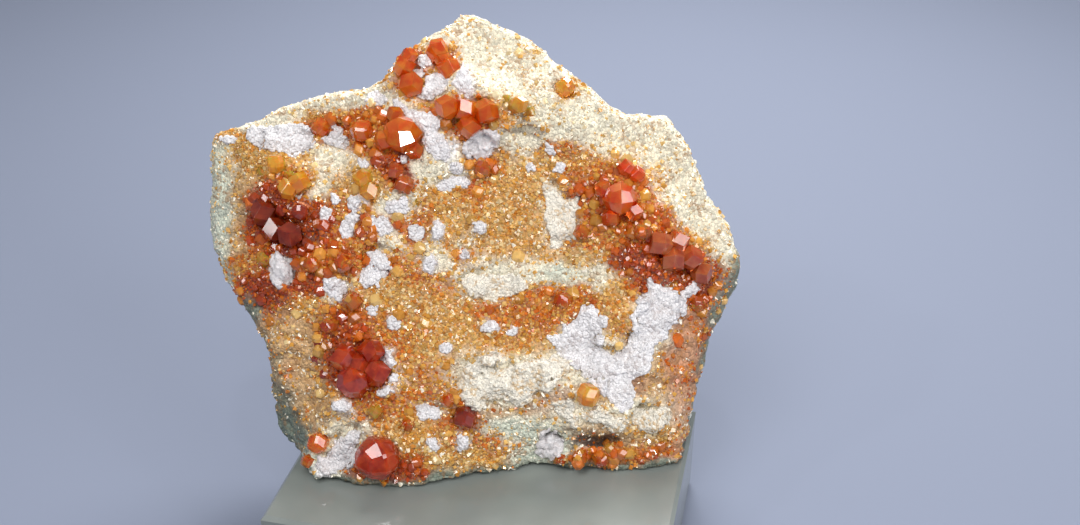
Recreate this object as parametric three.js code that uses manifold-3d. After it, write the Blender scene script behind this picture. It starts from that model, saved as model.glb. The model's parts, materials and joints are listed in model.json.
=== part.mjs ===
// Spessartine garnet specimen: a slab of pale rock, crusted with garnets, feldspar and
// quartz, that stands leaning back on a smooth display block. Millimetres, +Z up.
// The origin is the middle of the block's underside, and the crusted face looks along -Y.

import * as THREE from 'three';
import { ConvexGeometry } from 'three/addons/geometries/ConvexGeometry.js';
import { LoftGeometry } from 'three/addons/geometries/LoftGeometry.js';
import { SimplexNoise } from 'three/addons/math/SimplexNoise.js';
import { mergeVertices } from 'three/addons/utils/BufferGeometryUtils.js';
import Module from 'manifold-3d';

// Real sizes
const PICTURE_SCALE = 80 / 525;
const BLOCK_LENGTH = 60;
const BLOCK_DEPTH = 40;
const BLOCK_HEIGHT = 16;
const BLOCK_EDGE = 0.6;
const BLOCK_TURN = -13;
const LEAN_BACK = 32;
const CLEARANCE = 0.3;
const WELD = 1e-4;

// The middle of the crusted face, and how high it is over the block's top
const FACE_X = 7.85;
const FACE_Y = 11.45;
const FACE_RISE = 29.5;
const CUT_SIZE = 300;

// Places on the face are given as they are seen from in front, across and down in picture
// steps of PICTURE_SCALE. Deeper points spread out a little, as they do for the eye.
const PICTURE_MIDDLE = new THREE.Vector2(540, 262.5);
const VIEW_DISTANCE = 190;
const SLAB_MIDDLE = new THREE.Vector2(470, 258);

// How deep the slab is behind the face, at its top edge, and how much deeper for each
// millimetre further down
const BACK_AT_TOP = 9;
const BACK_PER_MM_DOWN = 0.261;
const FACE_TOP = 37.7;
const LEAST_THICKNESS = 2;

// How uneven the back is and the size of its humps, and the same for the face
const BACK_ROUGHNESS = 1.5;
const BACK_LUMP = 11;
const FACE_ROUGHNESS = 0.35;
const FACE_LUMP = 5.5;

// The stone's outline from its upper left corner, clockwise: across, down, and how wide a
// strip of the side shows past the edge of the face
const SIDE_STRIP = 4;
const SIDE_DROP = 1.2;
const SIDE_SLOPE = 0.3;
const OUTLINE = [
  [211, 158], [215, 133], [232, 128], [264, 118], [279, 108], [302, 100], [331, 92.5],
  [357, 90], [376, 84], [384, 78], [395, 66], [404, 55], [431, 36], [454, 22], [462, 15],
  [474, 15], [495, 24], [514, 31], [537, 45], [559, 64], [580, 82], [590, 88], [610, 107],
  [627, 115], [640, 114], [652, 117], [667, 117], [680, 135], [692, 152], [696, 168],
  [707, 193], [715, 208], [730, 228], [734, 243], [739, 267, 3], [736, 282, 6],
  [722, 311, 11], [710, 339, 12], [704, 354, 12], [704, 367, 12], [697, 383, 10],
  [692, 398, 9], [690, 414, 9], [686.5, 442, 11], [688, 467, 15], [688, 490, 16],
  [652, 490], [631, 492], [601, 490], [560, 490], [540, 488], [515, 490], [502, 496],
  [476, 502], [438, 510], [400, 514], [379, 512], [352, 508], [325, 504], [301, 500, 12],
  [289, 488, 30], [287, 466, 34], [283, 447, 30], [279.5, 428, 25], [277, 408, 18],
  [273, 384, 9], [271, 357, 5], [256, 320], [242, 301], [229, 282], [222, 264], [214, 251],
  [211.5, 226], [211, 203], [213, 181],
];

// Rings of the slab: how far each is from the middle to the edge, how far it is from the
// side to the back, and how many of its points are drawn together in one
const FACE_RINGS = [
  [0, 8], [0.13, 8], [0.25, 4], [0.37, 4], [0.49, 2], [0.61, 2], [0.73, 2], [0.84, 2],
  [0.93, 1], [1, 1],
];
const BACK_RINGS = [
  [0.975, 0.55, 2], [0.92, 0.9, 2], [0.76, 1, 2], [0.56, 1, 4], [0.36, 1, 4], [0.18, 1, 8],
  [0, 1, 8],
];
const OUTLINE_STEP = 26;

// Height of the face over its own plane, in millimetres, at places on it
const RELIEF_REACH = 17;
const FAR_WEIGHT = 1e-9;
const RELIEF = [
  [215, 150, -6.5], [232, 150, -5], [215, 180, -7], [214, 225, -7.5], [222, 262, -6.5],
  [245, 200, -3], [250, 245, -3], [245, 300, -4.5], [275, 160, -1.5], [300, 120, -3.5],
  [340, 105, -2.4], [385, 95, -1], [410, 70, -0.5], [440, 48, -1.5], [462, 25, -3.5],
  [500, 45, -2.8], [540, 70, -1.8], [580, 100, -1.6], [620, 130, -2.5], [655, 130, -4.5],
  [680, 170, -5], [700, 215, -5], [722, 250, -6], [728, 285, -7], [705, 325, -4.8],
  [692, 360, -5], [680, 400, -4.8], [672, 440, -4.6],
  [300, 200, 0], [330, 240, 0.8], [280, 280, -1], [320, 300, 0.5], [300, 340, -1.2],
  [285, 375, -3], [300, 420, -3], [350, 330, 0.8], [360, 380, 1.2], [340, 420, 0.8],
  [325, 460, -1], [300, 465, -3.3], [350, 486, -0.9], [380, 450, 0.6], [400, 490, 0.2],
  [440, 480, -0.5], [430, 430, 0.6], [430, 390, 0.8], [420, 340, 0.6], [400, 300, 0.4],
  [380, 250, 1], [390, 200, 1.2], [420, 160, 1.6], [440, 120, 1.6], [400, 130, 1.6],
  [470, 95, 1.8], [500, 110, 2], [530, 105, 2.2], [560, 115, 1.4], [590, 130, 0.4],
  [525, 150, -1.2], [555, 150, -1.2], [600, 165, -0.6], [620, 200, 0.4], [650, 210, -0.4],
  [580, 200, -1.4], [540, 200, -1.8], [500, 200, -1.2], [470, 180, 0], [460, 230, -0.6],
  [500, 260, -1.6], [540, 280, -2], [580, 270, -1.8], [610, 260, -1], [650, 250, 0.2],
  [685, 262, -1], [640, 310, 0.6], [600, 340, 1.2], [640, 350, 1.6], [630, 390, 2],
  [590, 390, 1.6], [550, 350, 0.2], [520, 320, -0.9], [480, 320, -0.7], [460, 300, -0.5],
  [470, 370, 1.2], [520, 380, 1.6], [500, 410, 1], [540, 410, 1.2], [580, 422, 1.4],
  [650, 415, 0.6], [610, 425, 1.2], [600, 450, -2.8], [560, 447, -2.6], [520, 445, -2.4],
  [490, 440, -1], [600, 470, -4.4], [640, 470, -4], [540, 464, -5.2], [500, 472, -3.7],
  [686, 467, -4.6], [476, 478, -2.2], [660, 372, -1.8],
];

// Garnets: across, down and radius in picture steps. Each list is one group whose
// crystals have grown into one another, or one crystal.
const GARNETS = {
  garnet_peak_right: [[437, 50, 11], [449, 68, 11], [443, 59, 9]],
  garnet_peak_left: [[409, 56, 8], [404, 67, 10], [411, 84, 13]],
  garnet_ridge_row: [[448, 107, 12], [467, 110, 11], [486, 111, 12], [469, 126, 11]],
  garnet_orange_heart: [[402, 134, 17], [384, 140, 10], [414, 150, 9], [396, 116, 9]],
  garnet_amber_corner: [[276, 164, 10]],
  garnet_amber_pair: [[300, 182, 10], [288, 189, 10]],
  garnet_upper_edge: [[321, 127, 10]],
  garnet_orange_upper: [[362, 131, 12]],
  garnet_dark_left: [[263, 213, 13], [274, 230, 13], [290, 235, 13]],
  garnet_dark_left_small: [[300, 212, 9]],
  garnet_yellow_middle: [[363, 178, 9], [370, 191, 9]],
  garnet_brown_pair: [[396, 171, 8], [404, 184, 9]],
  garnet_red_cluster: [
    [344, 358, 13], [371, 351, 12], [376, 373, 13], [354, 381, 15], [360, 364, 11],
  ],
  garnet_great_red: [[377, 458, 21]],
  garnet_low_left: [[318, 443, 11]],
  garnet_dark_low: [[465, 417, 12]],
  garnet_bright_red: [[620, 199, 15], [604, 190, 9], [634, 211, 9], [611, 217, 9]],
  garnet_bright_small: [[626, 168, 8], [637, 175, 8]],
  garnet_brown_right: [
    [661, 244, 12], [678, 242, 11], [673, 259, 12], [691, 258, 12], [701, 272, 11],
  ],
  garnet_orange_in_feldspar: [[588, 395, 12]],
  garnet_amber_on_ridge: [[565, 87, 10]],
};

// Garnets with this radius or more show the form with 24 kite faces, the rest the form with
// 12 diamond faces. The corners on a crystal's square axes stand furthest out, and the
// others follow from the form.
const KITE_RADIUS = 14.5;
const SQUARE_CORNER = 1.17;
const KITE_CORNER = (SQUARE_CORNER * 2) / 3;
const THREE_FACE_CORNER = SQUARE_CORNER / 2;
const GARNET_LIFT = 0.25;
const GARNET_ROOM = 0.35;

// Feldspar: each list is one mass of lumps grown together, given as across, down and the
// half width and half height of each lump
const LUMP_DEPTH = 0.5;
const LUMP_LEAST_DEPTH = 0.4;
const LUMP_TURN = 0.32;
const LUMP_LIFT = 0.1;
const LUMP_LEAST_CORNER = 0.84;
const LUMP_CORNER_RANGE = 0.2;
const LUMP_ROOM = 0.38;
const MOST_LUMPS_IN_ONE_ROOM = 3;
const FELDSPAR = {
  feldspar_upper_left: [[258, 139, 11, 8], [277, 143, 13, 9], [298, 140, 13, 9]],
  feldspar_upper_edge: [[340, 139, 11, 9], [332, 129, 8, 7]],
  feldspar_over_edge: [[376, 99, 9, 8]],
  feldspar_peak: [[436, 84, 10, 9], [424, 95, 8, 8]],
  feldspar_peak_right: [[463, 83, 7, 13]],
  feldspar_vein: [[425, 117, 9, 8], [432, 130, 10, 9], [437, 146, 9, 10], [446, 157, 9, 8]],
  feldspar_middle_top: [[400, 204, 14, 8]],
  feldspar_middle_drop: [[417, 234, 8, 10]],
  feldspar_middle_left: [[381, 225, 9, 8]],
  feldspar_chain: [[353, 206, 7, 9], [350, 224, 8, 12]],
  feldspar_pale_middle: [[378, 257, 13, 11], [372, 273, 12, 11]],
  feldspar_left_of_middle: [[338, 288, 10, 8]],
  feldspar_grey_top: [[446, 186, 9, 7], [461, 181, 10, 6]],
  feldspar_cream_patch: [[472, 287, 12, 9], [490, 280, 13, 12], [506, 289, 10, 9]],
  feldspar_star: [[548, 191, 10, 9], [562, 203, 17, 10], [561, 221, 15, 13], [562, 239, 10, 9]],
  feldspar_great_y: [
    [653, 286, 13, 12], [677, 291, 15, 10], [664, 307, 15, 15], [654, 329, 15, 15],
    [640, 350, 17, 14], [624, 371, 16, 13], [620, 394, 14, 14], [599, 361, 18, 15],
    [577, 345, 17, 16], [585, 327, 16, 11],
  ],
  feldspar_low_mass: [
    [464, 375, 13, 11], [483, 384, 13, 13], [503, 378, 15, 13], [526, 379, 16, 14],
    [496, 400, 15, 11], [521, 400, 16, 13],
  ],
  feldspar_low_right: [[650, 418, 18, 13]],
  feldspar_low_ridge: [[609, 421, 16, 8]],
  feldspar_low_middle: [[567, 416, 12, 10]],
  feldspar_white_streak: [[351, 434, 8, 9], [343, 446, 9, 9], [334, 458, 10, 9]],
  feldspar_small_wide: [[428, 412, 11, 8]],
};

// Small feldspar lumps that are part of the rock's own crust
const SMALL_FELDSPAR = [
  [438, 231, 6, 9], [430, 264, 6, 10], [341, 406, 8, 7], [389, 358, 6, 9], [462, 441, 7, 9],
  [480, 228, 7, 9], [490, 328, 9, 7], [490, 360, 9, 6], [385, 391, 9, 6], [322, 471, 8, 6],
];

// Quartz crystals: across, down, radius, and the way that the crystal points. Each is a short
// six-sided column under a pointed tip, in shares of its radius.
const QUARTZ_TIP = 1.15;
const QUARTZ_SHOULDER = 0.35;
const QUARTZ_FOOT = -0.9;
const QUARTZ_ROOM = 0.38;
const QUARTZ = {
  quartz_under_ridge: [482, 147, 13, new THREE.Vector3(0.35, -0.1, 0.9)],
  quartz_left: [282, 269, 14, new THREE.Vector3(-0.5, 0.45, 0.75)],
  quartz_low: [551, 441, 11, new THREE.Vector3(0.1, 0.5, 0.85)],
};

// Small garnets that are part of the rock's own crust: across, down and radius
const SMALL_GARNETS = [
  [264, 260, 7], [343, 264, 9], [353, 301, 9], [308, 461, 7], [375, 411, 7], [408, 424, 7],
  [448, 400, 7], [582, 232, 8], [698, 305, 8], [560, 458, 7], [580, 457, 8], [601, 459, 8],
  [518, 105, 9], [483, 168, 8], [563, 301, 9], [312, 265, 8], [330, 325, 8], [640, 232, 8],
];

// Pits in the rock: across, down, half width, half height, and depth in millimetres
const PITS = [
  [600, 442, 27, 7, 3.2],
  [640, 387, 9, 7, 1.6],
  [524, 131, 18, 6, 1.6],
  [421, 74, 7, 6, 1.2],
  [312, 236, 8, 9, 1.2],
];

const FINISHES = {
  rock: { color: 0xb58a5e, roughness: 0.8, metalness: 0 },
  garnet: { color: 0xb8470f, roughness: 0.15, metalness: 0 },
  feldspar: { color: 0xe2d9cc, roughness: 0.7, metalness: 0 },
  quartz: { color: 0xa9a49c, roughness: 0.2, metalness: 0 },
  block: { color: 0x6f766f, roughness: 0.1, metalness: 0 },
};

const wasm = await Module();
wasm.setup();

function seededRandom(seed) {
  let state = seed;
  return () => {
    state = (state * 1664525 + 1013904223) % 4294967296;
    return state / 4294967296;
  };
}

const random = seededRandom(20261);
const noise = new SimplexNoise({ random });

// Point in face coordinates: x across, y up the face, z out of it
function facePoint(across, down, height) {
  const spread = PICTURE_SCALE * (1 - height / VIEW_DISTANCE);
  const x = (across - PICTURE_MIDDLE.x) * spread;
  const y = (PICTURE_MIDDLE.y - down) * spread;
  return new THREE.Vector3(x, y, height);
}

function roughness(point, size, seed) {
  const coarse = noise.noise3d(point.x / size, point.y / size, seed);
  const fine = noise.noise3d((2.1 * point.x) / size, (2.1 * point.y) / size, seed + 7);
  return coarse + 0.5 * fine;
}

function reliefAt(across, down) {
  let total = 0;
  let weights = 0;
  for (const [x, y, height] of RELIEF) {
    const distance = Math.hypot(across - x, down - y) / RELIEF_REACH;
    const weight = Math.exp(-0.5 * distance * distance) + FAR_WEIGHT;
    total += weight * height;
    weights += weight;
  }
  return total / weights;
}

function faceHeight(across, down) {
  const place = facePoint(across, down, 0);
  return reliefAt(across, down) + FACE_ROUGHNESS * roughness(place, FACE_LUMP, 1);
}

// Height of the silhouette, behind the edge of the face where a strip of the side shows
function sideHeight(edge, width) {
  return reliefAt(edge.x, edge.y) - SIDE_DROP - SIDE_SLOPE * width;
}

function backHeight(place) {
  return -BACK_AT_TOP - BACK_PER_MM_DOWN * (FACE_TOP - place.y);
}

function toSolid(geometry) {
  const bare = new THREE.BufferGeometry();
  bare.setAttribute('position', geometry.attributes.position);
  bare.setIndex(geometry.index);
  const merged = mergeVertices(bare, WELD);
  const triangles = [];
  for (let corner = 0; corner < merged.index.count; corner += 3) {
    const [a, b, c] = merged.index.array.slice(corner, corner + 3);
    if (a !== b && b !== c && c !== a) {
      triangles.push(a, b, c);
    }
  }
  const mesh = new wasm.Mesh({
    numProp: 3,
    vertProperties: Float32Array.from(merged.attributes.position.array),
    triVerts: Uint32Array.from(triangles),
  });
  return new wasm.Manifold(mesh);
}

// Triangles that meet along edges, as lists of corner numbers, one list for each body
function bodiesOf(corners) {
  const count = corners.length / 3;
  const parent = Array.from({ length: count }, (_, index) => index);
  const rootOf = (index) => {
    let root = index;
    while (parent[root] !== root) {
      root = parent[root];
    }
    parent[index] = root;
    return root;
  };
  const edges = new Map();
  for (let triangle = 0; triangle < count; triangle += 1) {
    for (let side = 0; side < 3; side += 1) {
      const from = corners[3 * triangle + side];
      const to = corners[3 * triangle + ((side + 1) % 3)];
      edges.set(`${from} ${to}`, triangle);
      const neighbour = edges.get(`${to} ${from}`);
      if (neighbour !== undefined) {
        parent[rootOf(triangle)] = rootOf(neighbour);
      }
    }
  }
  const bodies = new Map();
  for (let triangle = 0; triangle < count; triangle += 1) {
    const root = rootOf(triangle);
    const body = bodies.get(root) ?? [];
    body.push(...corners.slice(3 * triangle, 3 * triangle + 3));
    bodies.set(root, body);
  }
  return [...bodies.values()];
}

// The largest body of a solid, without chips that a cut left loose
function toGeometry(solid) {
  const mesh = solid.getMesh();
  const largest = bodiesOf(mesh.triVerts).sort((a, b) => b.length - a.length)[0];
  const geometry = new THREE.BufferGeometry();
  geometry.setAttribute('position', new THREE.Float32BufferAttribute(mesh.vertProperties, 3));
  geometry.setIndex(largest);
  return geometry;
}

function unite(solids) {
  return solids.reduce((whole, solid) => whole.add(solid));
}

// Outline with its long stretches divided, as the point on the silhouette and the point on
// the edge of the face
function outlinePoints(longest) {
  const points = [];
  OUTLINE.forEach(([x, y, strip = SIDE_STRIP], index) => {
    const [nextX, nextY, nextStrip = SIDE_STRIP] = OUTLINE[(index + 1) % OUTLINE.length];
    const pieces = Math.ceil(Math.hypot(nextX - x, nextY - y) / longest);
    for (let piece = 0; piece < pieces; piece += 1) {
      const part = piece / pieces;
      const side = new THREE.Vector2(x + part * (nextX - x), y + part * (nextY - y));
      const width = strip + part * (nextStrip - strip);
      const inward = SLAB_MIDDLE.clone().sub(side).normalize();
      points.push({ side, width, edge: side.clone().addScaledVector(inward, width) });
    }
  });
  return points;
}

// The slab is skinned over rings of points: over the face from its middle to its edge, down
// the side, then over the back to its middle
function slab() {
  const outline = outlinePoints(OUTLINE_STEP);
  const rings = [];
  for (const [part, share] of FACE_RINGS) {
    rings.push(outline.map((_, index) => {
      const place = SLAB_MIDDLE.clone().lerp(outline[index - (index % share)].edge, part);
      return facePoint(place.x, place.y, faceHeight(place.x, place.y));
    }));
  }
  rings.push(outline.map(({ side, width, edge }) => {
    return facePoint(side.x, side.y, sideHeight(edge, width));
  }));
  for (const [part, depth, share] of BACK_RINGS) {
    rings.push(outline.map((_, index) => {
      const { side, width, edge } = outline[index - (index % share)];
      const place = SLAB_MIDDLE.clone().lerp(side, part);
      const flat = facePoint(place.x, place.y, 0);
      const from = sideHeight(edge, width);
      const back = backHeight(flat) + BACK_ROUGHNESS * roughness(flat, BACK_LUMP, 5);
      const fall = Math.max(from - back, LEAST_THICKNESS);
      return facePoint(place.x, place.y, from - depth * fall);
    }));
  }
  return toSolid(new LoftGeometry(rings));
}

function crystalCorners(kites) {
  const corners = [];
  for (const x of [-1, 0, 1]) {
    for (const y of [-1, 0, 1]) {
      for (const z of [-1, 0, 1]) {
        const axes = Math.abs(x) + Math.abs(y) + Math.abs(z);
        const corner = new THREE.Vector3(x, y, z);
        if (axes === 1) {
          corners.push(corner.multiplyScalar(SQUARE_CORNER));
        } else if (axes === 2 && kites) {
          corners.push(corner.multiplyScalar(KITE_CORNER));
        } else if (axes === 3) {
          corners.push(corner.multiplyScalar(THREE_FACE_CORNER));
        }
      }
    }
  }
  return corners;
}

function randomTurn(most) {
  const angle = () => (random() - 0.5) * 2 * most;
  return new THREE.Euler(angle(), angle(), angle());
}

// The corners of a garnet, in its place on the face, a little larger where it grows
function garnetCorners([across, down, steps], turn, grow) {
  const radius = steps * PICTURE_SCALE;
  const place = facePoint(across, down, reliefAt(across, down) + GARNET_LIFT * radius);
  return crystalCorners(steps > KITE_RADIUS).map((corner) => {
    return corner.multiplyScalar(radius + grow).applyEuler(turn).add(place);
  });
}

// Garnets that grew into one another, and the room that they take in the rock
function garnetGroup(crystals) {
  const turns = crystals.map(() => randomTurn(Math.PI));
  const solids = crystals.map((crystal, index) => {
    return toSolid(new ConvexGeometry(garnetCorners(crystal, turns[index], 0)));
  });
  const around = crystals.flatMap((crystal, index) => {
    return garnetCorners(crystal, turns[index], GARNET_ROOM);
  });
  return { solid: unite(solids), room: toSolid(new ConvexGeometry(around)) };
}

// The corners of a blocky lump, slightly uneven, about the lump's own middle
function lumpCorners() {
  const corners = [];
  for (const x of [-1, 1]) {
    for (const y of [-1, 1]) {
      for (const z of [-1, 1]) {
        const reach = LUMP_LEAST_CORNER + LUMP_CORNER_RANGE * random();
        corners.push(new THREE.Vector3(x, y, z).multiplyScalar(reach));
      }
    }
  }
  return corners;
}

// Lumps that grew together, and the room that they take in the rock: one convex room for
// a few lumps, or the lumps' own form where the mass bends
function feldsparMass(lumps) {
  const shapes = lumps.map(([across, down, halfWidth, halfHeight]) => {
    const width = halfWidth * PICTURE_SCALE;
    const height = halfHeight * PICTURE_SCALE;
    const depth = LUMP_DEPTH * Math.min(width, height) + LUMP_LEAST_DEPTH;
    const size = new THREE.Vector3(width, height, depth);
    const place = facePoint(across, down, reliefAt(across, down) + LUMP_LIFT);
    return { corners: lumpCorners(), turn: randomTurn(LUMP_TURN), size, place };
  });
  const grown = (grow) => shapes.map(({ corners, turn, size, place }) => {
    const larger = size.clone().addScalar(grow);
    return corners.map((corner) => corner.clone().multiply(larger).applyEuler(turn).add(place));
  });
  const convex = (corners) => toSolid(new ConvexGeometry(corners));
  const around = grown(LUMP_ROOM);
  const room = lumps.length > MOST_LUMPS_IN_ONE_ROOM
    ? unite(around.map(convex))
    : convex(around.flat());
  return { solid: unite(grown(0).map(convex)), room };
}

function quartz([across, down, steps, direction]) {
  const radius = steps * PICTURE_SCALE;
  const up = new THREE.Vector3(0, 0, 1);
  const turn = new THREE.Quaternion().setFromUnitVectors(up, direction.clone().normalize());
  const place = facePoint(across, down, reliefAt(across, down));
  const crystal = (size) => {
    const corners = [new THREE.Vector3(0, 0, QUARTZ_TIP * size)];
    for (let side = 0; side < 6; side += 1) {
      const angle = (side * Math.PI) / 3;
      const x = Math.cos(angle) * size;
      const y = Math.sin(angle) * size;
      corners.push(new THREE.Vector3(x, y, QUARTZ_SHOULDER * size));
      corners.push(new THREE.Vector3(x, y, QUARTZ_FOOT * size));
    }
    corners.forEach((corner) => corner.applyQuaternion(turn).add(place));
    return toSolid(new ConvexGeometry(corners));
  };
  return { solid: crystal(radius), room: crystal(radius + QUARTZ_ROOM) };
}

function pit([across, down, halfWidth, halfHeight, depth]) {
  const shape = new THREE.IcosahedronGeometry(1, 0);
  const place = facePoint(across, down, reliefAt(across, down));
  shape.scale(halfWidth * PICTURE_SCALE, halfHeight * PICTURE_SCALE, depth);
  shape.translate(place.x, place.y, place.z);
  return toSolid(shape);
}

// Everything lower than the block's top, with the clearance that the stone keeps over it
function belowSeat() {
  const shape = new THREE.BoxGeometry(CUT_SIZE, CUT_SIZE, CUT_SIZE);
  shape.translate(0, 0, CLEARANCE - FACE_RISE - CUT_SIZE / 2);
  shape.rotateX(THREE.MathUtils.degToRad(LEAN_BACK - 90));
  return toSolid(shape);
}

function displayBlock() {
  const halfLength = BLOCK_LENGTH / 2 - BLOCK_EDGE;
  const halfDepth = BLOCK_DEPTH / 2 - BLOCK_EDGE;
  const plan = new THREE.Shape([
    new THREE.Vector2(-halfLength, -halfDepth),
    new THREE.Vector2(halfLength, -halfDepth),
    new THREE.Vector2(halfLength, halfDepth),
    new THREE.Vector2(-halfLength, halfDepth),
  ]);
  const shape = new THREE.ExtrudeGeometry(plan, {
    depth: BLOCK_HEIGHT - 2 * BLOCK_EDGE,
    bevelEnabled: true,
    bevelThickness: BLOCK_EDGE,
    bevelSize: BLOCK_EDGE,
    bevelSegments: 1,
  });
  shape.translate(0, 0, BLOCK_EDGE);
  const block = new THREE.Mesh(shape, new THREE.MeshStandardMaterial(FINISHES.block));
  block.name = 'display_block';
  block.rotation.z = THREE.MathUtils.degToRad(BLOCK_TURN);
  return block;
}

const stone = new THREE.Group();
stone.position.set(FACE_X, FACE_Y, BLOCK_HEIGHT + FACE_RISE);
stone.rotation.x = THREE.MathUtils.degToRad(90 - LEAN_BACK);

function addPiece(name, solid, finish) {
  const piece = new THREE.Mesh(toGeometry(solid), new THREE.MeshStandardMaterial(finish));
  piece.name = name;
  stone.add(piece);
}

const seat = belowSeat();
const rooms = [];

for (const [name, crystals] of Object.entries(GARNETS)) {
  const grown = garnetGroup(crystals);
  addPiece(name, grown.solid, FINISHES.garnet);
  rooms.push(grown.room);
}
for (const [name, crystal] of Object.entries(QUARTZ)) {
  const grown = quartz(crystal);
  addPiece(name, grown.solid, FINISHES.quartz);
  rooms.push(grown.room);
}

let crystalRooms = unite(rooms);
for (const [name, lumps] of Object.entries(FELDSPAR)) {
  const { solid, room } = feldsparMass(lumps);
  addPiece(name, solid.subtract(crystalRooms), FINISHES.feldspar);
  crystalRooms = crystalRooms.add(room);
}

const crust = [
  ...SMALL_GARNETS.map((crystal) => garnetGroup([crystal]).solid),
  ...SMALL_FELDSPAR.map((one) => feldsparMass([one]).solid),
];
const pitted = PITS.reduce((rock, one) => rock.subtract(pit(one)), slab());
const rock = unite([pitted, ...crust]).subtract(crystalRooms).subtract(seat);
addPiece('matrix_rock', rock, FINISHES.rock);

const specimen = new THREE.Group();
specimen.add(stone, displayBlock());

export default specimen;
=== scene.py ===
"""Spessartine garnet specimen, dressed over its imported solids. Metres, +Z up.

A slab of pale rock leans back on a smooth display block. Its face carries a glittering crust
of small garnets, larger garnets, lumps of feldspar and a few quartz crystals.
"""

import json
import logging
import math
import random
from dataclasses import dataclass
from enum import Enum
from itertools import combinations, product

import bmesh
import bpy
import numpy as np
from mathutils import Matrix, Vector, noise
from mathutils.bvhtree import BVHTree

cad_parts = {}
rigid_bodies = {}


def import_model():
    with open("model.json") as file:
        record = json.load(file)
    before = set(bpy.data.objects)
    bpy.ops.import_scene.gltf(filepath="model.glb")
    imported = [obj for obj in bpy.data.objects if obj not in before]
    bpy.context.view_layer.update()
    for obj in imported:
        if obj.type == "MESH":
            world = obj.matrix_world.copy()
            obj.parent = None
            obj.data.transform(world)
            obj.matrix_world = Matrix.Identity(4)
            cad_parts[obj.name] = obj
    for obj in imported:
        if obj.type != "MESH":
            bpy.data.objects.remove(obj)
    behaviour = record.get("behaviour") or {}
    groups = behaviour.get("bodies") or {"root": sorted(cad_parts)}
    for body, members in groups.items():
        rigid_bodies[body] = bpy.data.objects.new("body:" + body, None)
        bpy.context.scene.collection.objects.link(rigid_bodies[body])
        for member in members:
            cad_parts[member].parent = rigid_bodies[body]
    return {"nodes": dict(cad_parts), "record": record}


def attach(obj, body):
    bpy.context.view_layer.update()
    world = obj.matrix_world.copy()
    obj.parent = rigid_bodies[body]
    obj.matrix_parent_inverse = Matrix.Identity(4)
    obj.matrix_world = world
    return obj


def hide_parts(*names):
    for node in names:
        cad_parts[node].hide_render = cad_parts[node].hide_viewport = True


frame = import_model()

LOG = logging.getLogger("garnet_specimen")
MM = 0.001
BODY = "root"

# The crusted face: its middle, how far it leans back, and how far off it is looked at from.
# Places on it are given in steps across and down, as they are seen from there.
STEP = 80 * MM / 525
FACE_MIDDLE = Vector((7.85 * MM, 11.45 * MM, 45.5 * MM))
LEAN_BACK = math.radians(32)
VIEW_DISTANCE = 190 * MM
STEPS_ACROSS = 1080
MIDDLE_ACROSS = 540.0
MIDDLE_DOWN = 262.5
SENSOR_WIDTH = 36.0
ACROSS = Vector((1, 0, 0))
UP_FACE = Vector((0, math.sin(LEAN_BACK), math.cos(LEAN_BACK)))
OUT = Vector((0, -math.cos(LEAN_BACK), math.sin(LEAN_BACK)))
EYE = FACE_MIDDLE + OUT * VIEW_DISTANCE

# How near points are joined, and how flat an edge is when it is taken out of a shape
MERGE_DISTANCE = 0.002 * MM
NODE_FLAT_ANGLE = math.radians(0.5)
SHAPE_FLAT_ANGLE = math.radians(2)
SOFTENING = 0.5
LEAST_LIFT = 0.5

# How strongly each material bends light
FELDSPAR_IOR = 1.53
QUARTZ_IOR = 1.54
GARNET_IOR = 1.8
ACRYLIC_IOR = 1.49

Patches = tuple[tuple[float, float, float, float], ...]
Rgb = tuple[int, int, int]


def linear(colour: Rgb) -> tuple[float, float, float, float]:
    """Turns a colour as seen on a screen into the one that light is reckoned with.

    Args:
        colour: red, green and blue, from 0 to 255.

    Returns:
        The linear colour, fully opaque.
    """
    parts = []
    for part in colour:
        share = part / 255
        parts.append(share / 12.92 if share <= 0.04045 else ((share + 0.055) / 1.055) ** 2.4)
    return (*parts, 1.0)


def on_face(points: np.ndarray) -> np.ndarray:
    """Gives the places on the face at which points are seen.

    Args:
        points: an array of positions, three to a row.

    Returns:
        An array with the steps across and the steps down in each row.
    """
    away = points - np.array(FACE_MIDDLE)
    depth = VIEW_DISTANCE - away @ np.array(OUT)
    spread = VIEW_DISTANCE / depth / STEP
    across = MIDDLE_ACROSS + (away @ np.array(ACROSS)) * spread
    down = MIDDLE_DOWN - (away @ np.array(UP_FACE)) * spread
    return np.stack([across, down], axis=1)


def sight(across: float, down: float) -> Vector:
    """Gives the direction in which a place on the face is seen.

    Args:
        across: steps across.
        down: steps down.

    Returns:
        A vector of length one that points away from the viewer.
    """
    target = FACE_MIDDLE + ACROSS * ((across - MIDDLE_ACROSS) * STEP)
    target += UP_FACE * ((MIDDLE_DOWN - down) * STEP)
    return (target - EYE).normalized()


def smooth_step(low: float, high: float, values: np.ndarray) -> np.ndarray:
    """Rises softly from 0 at low to 1 at high.

    Args:
        low: where the rise starts.
        high: where it ends.
        values: the values to look up.

    Returns:
        An array of shares from 0 to 1.
    """
    share = np.clip((values - low) / (high - low), 0.0, 1.0)
    return share * share * (3 - 2 * share)


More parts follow.
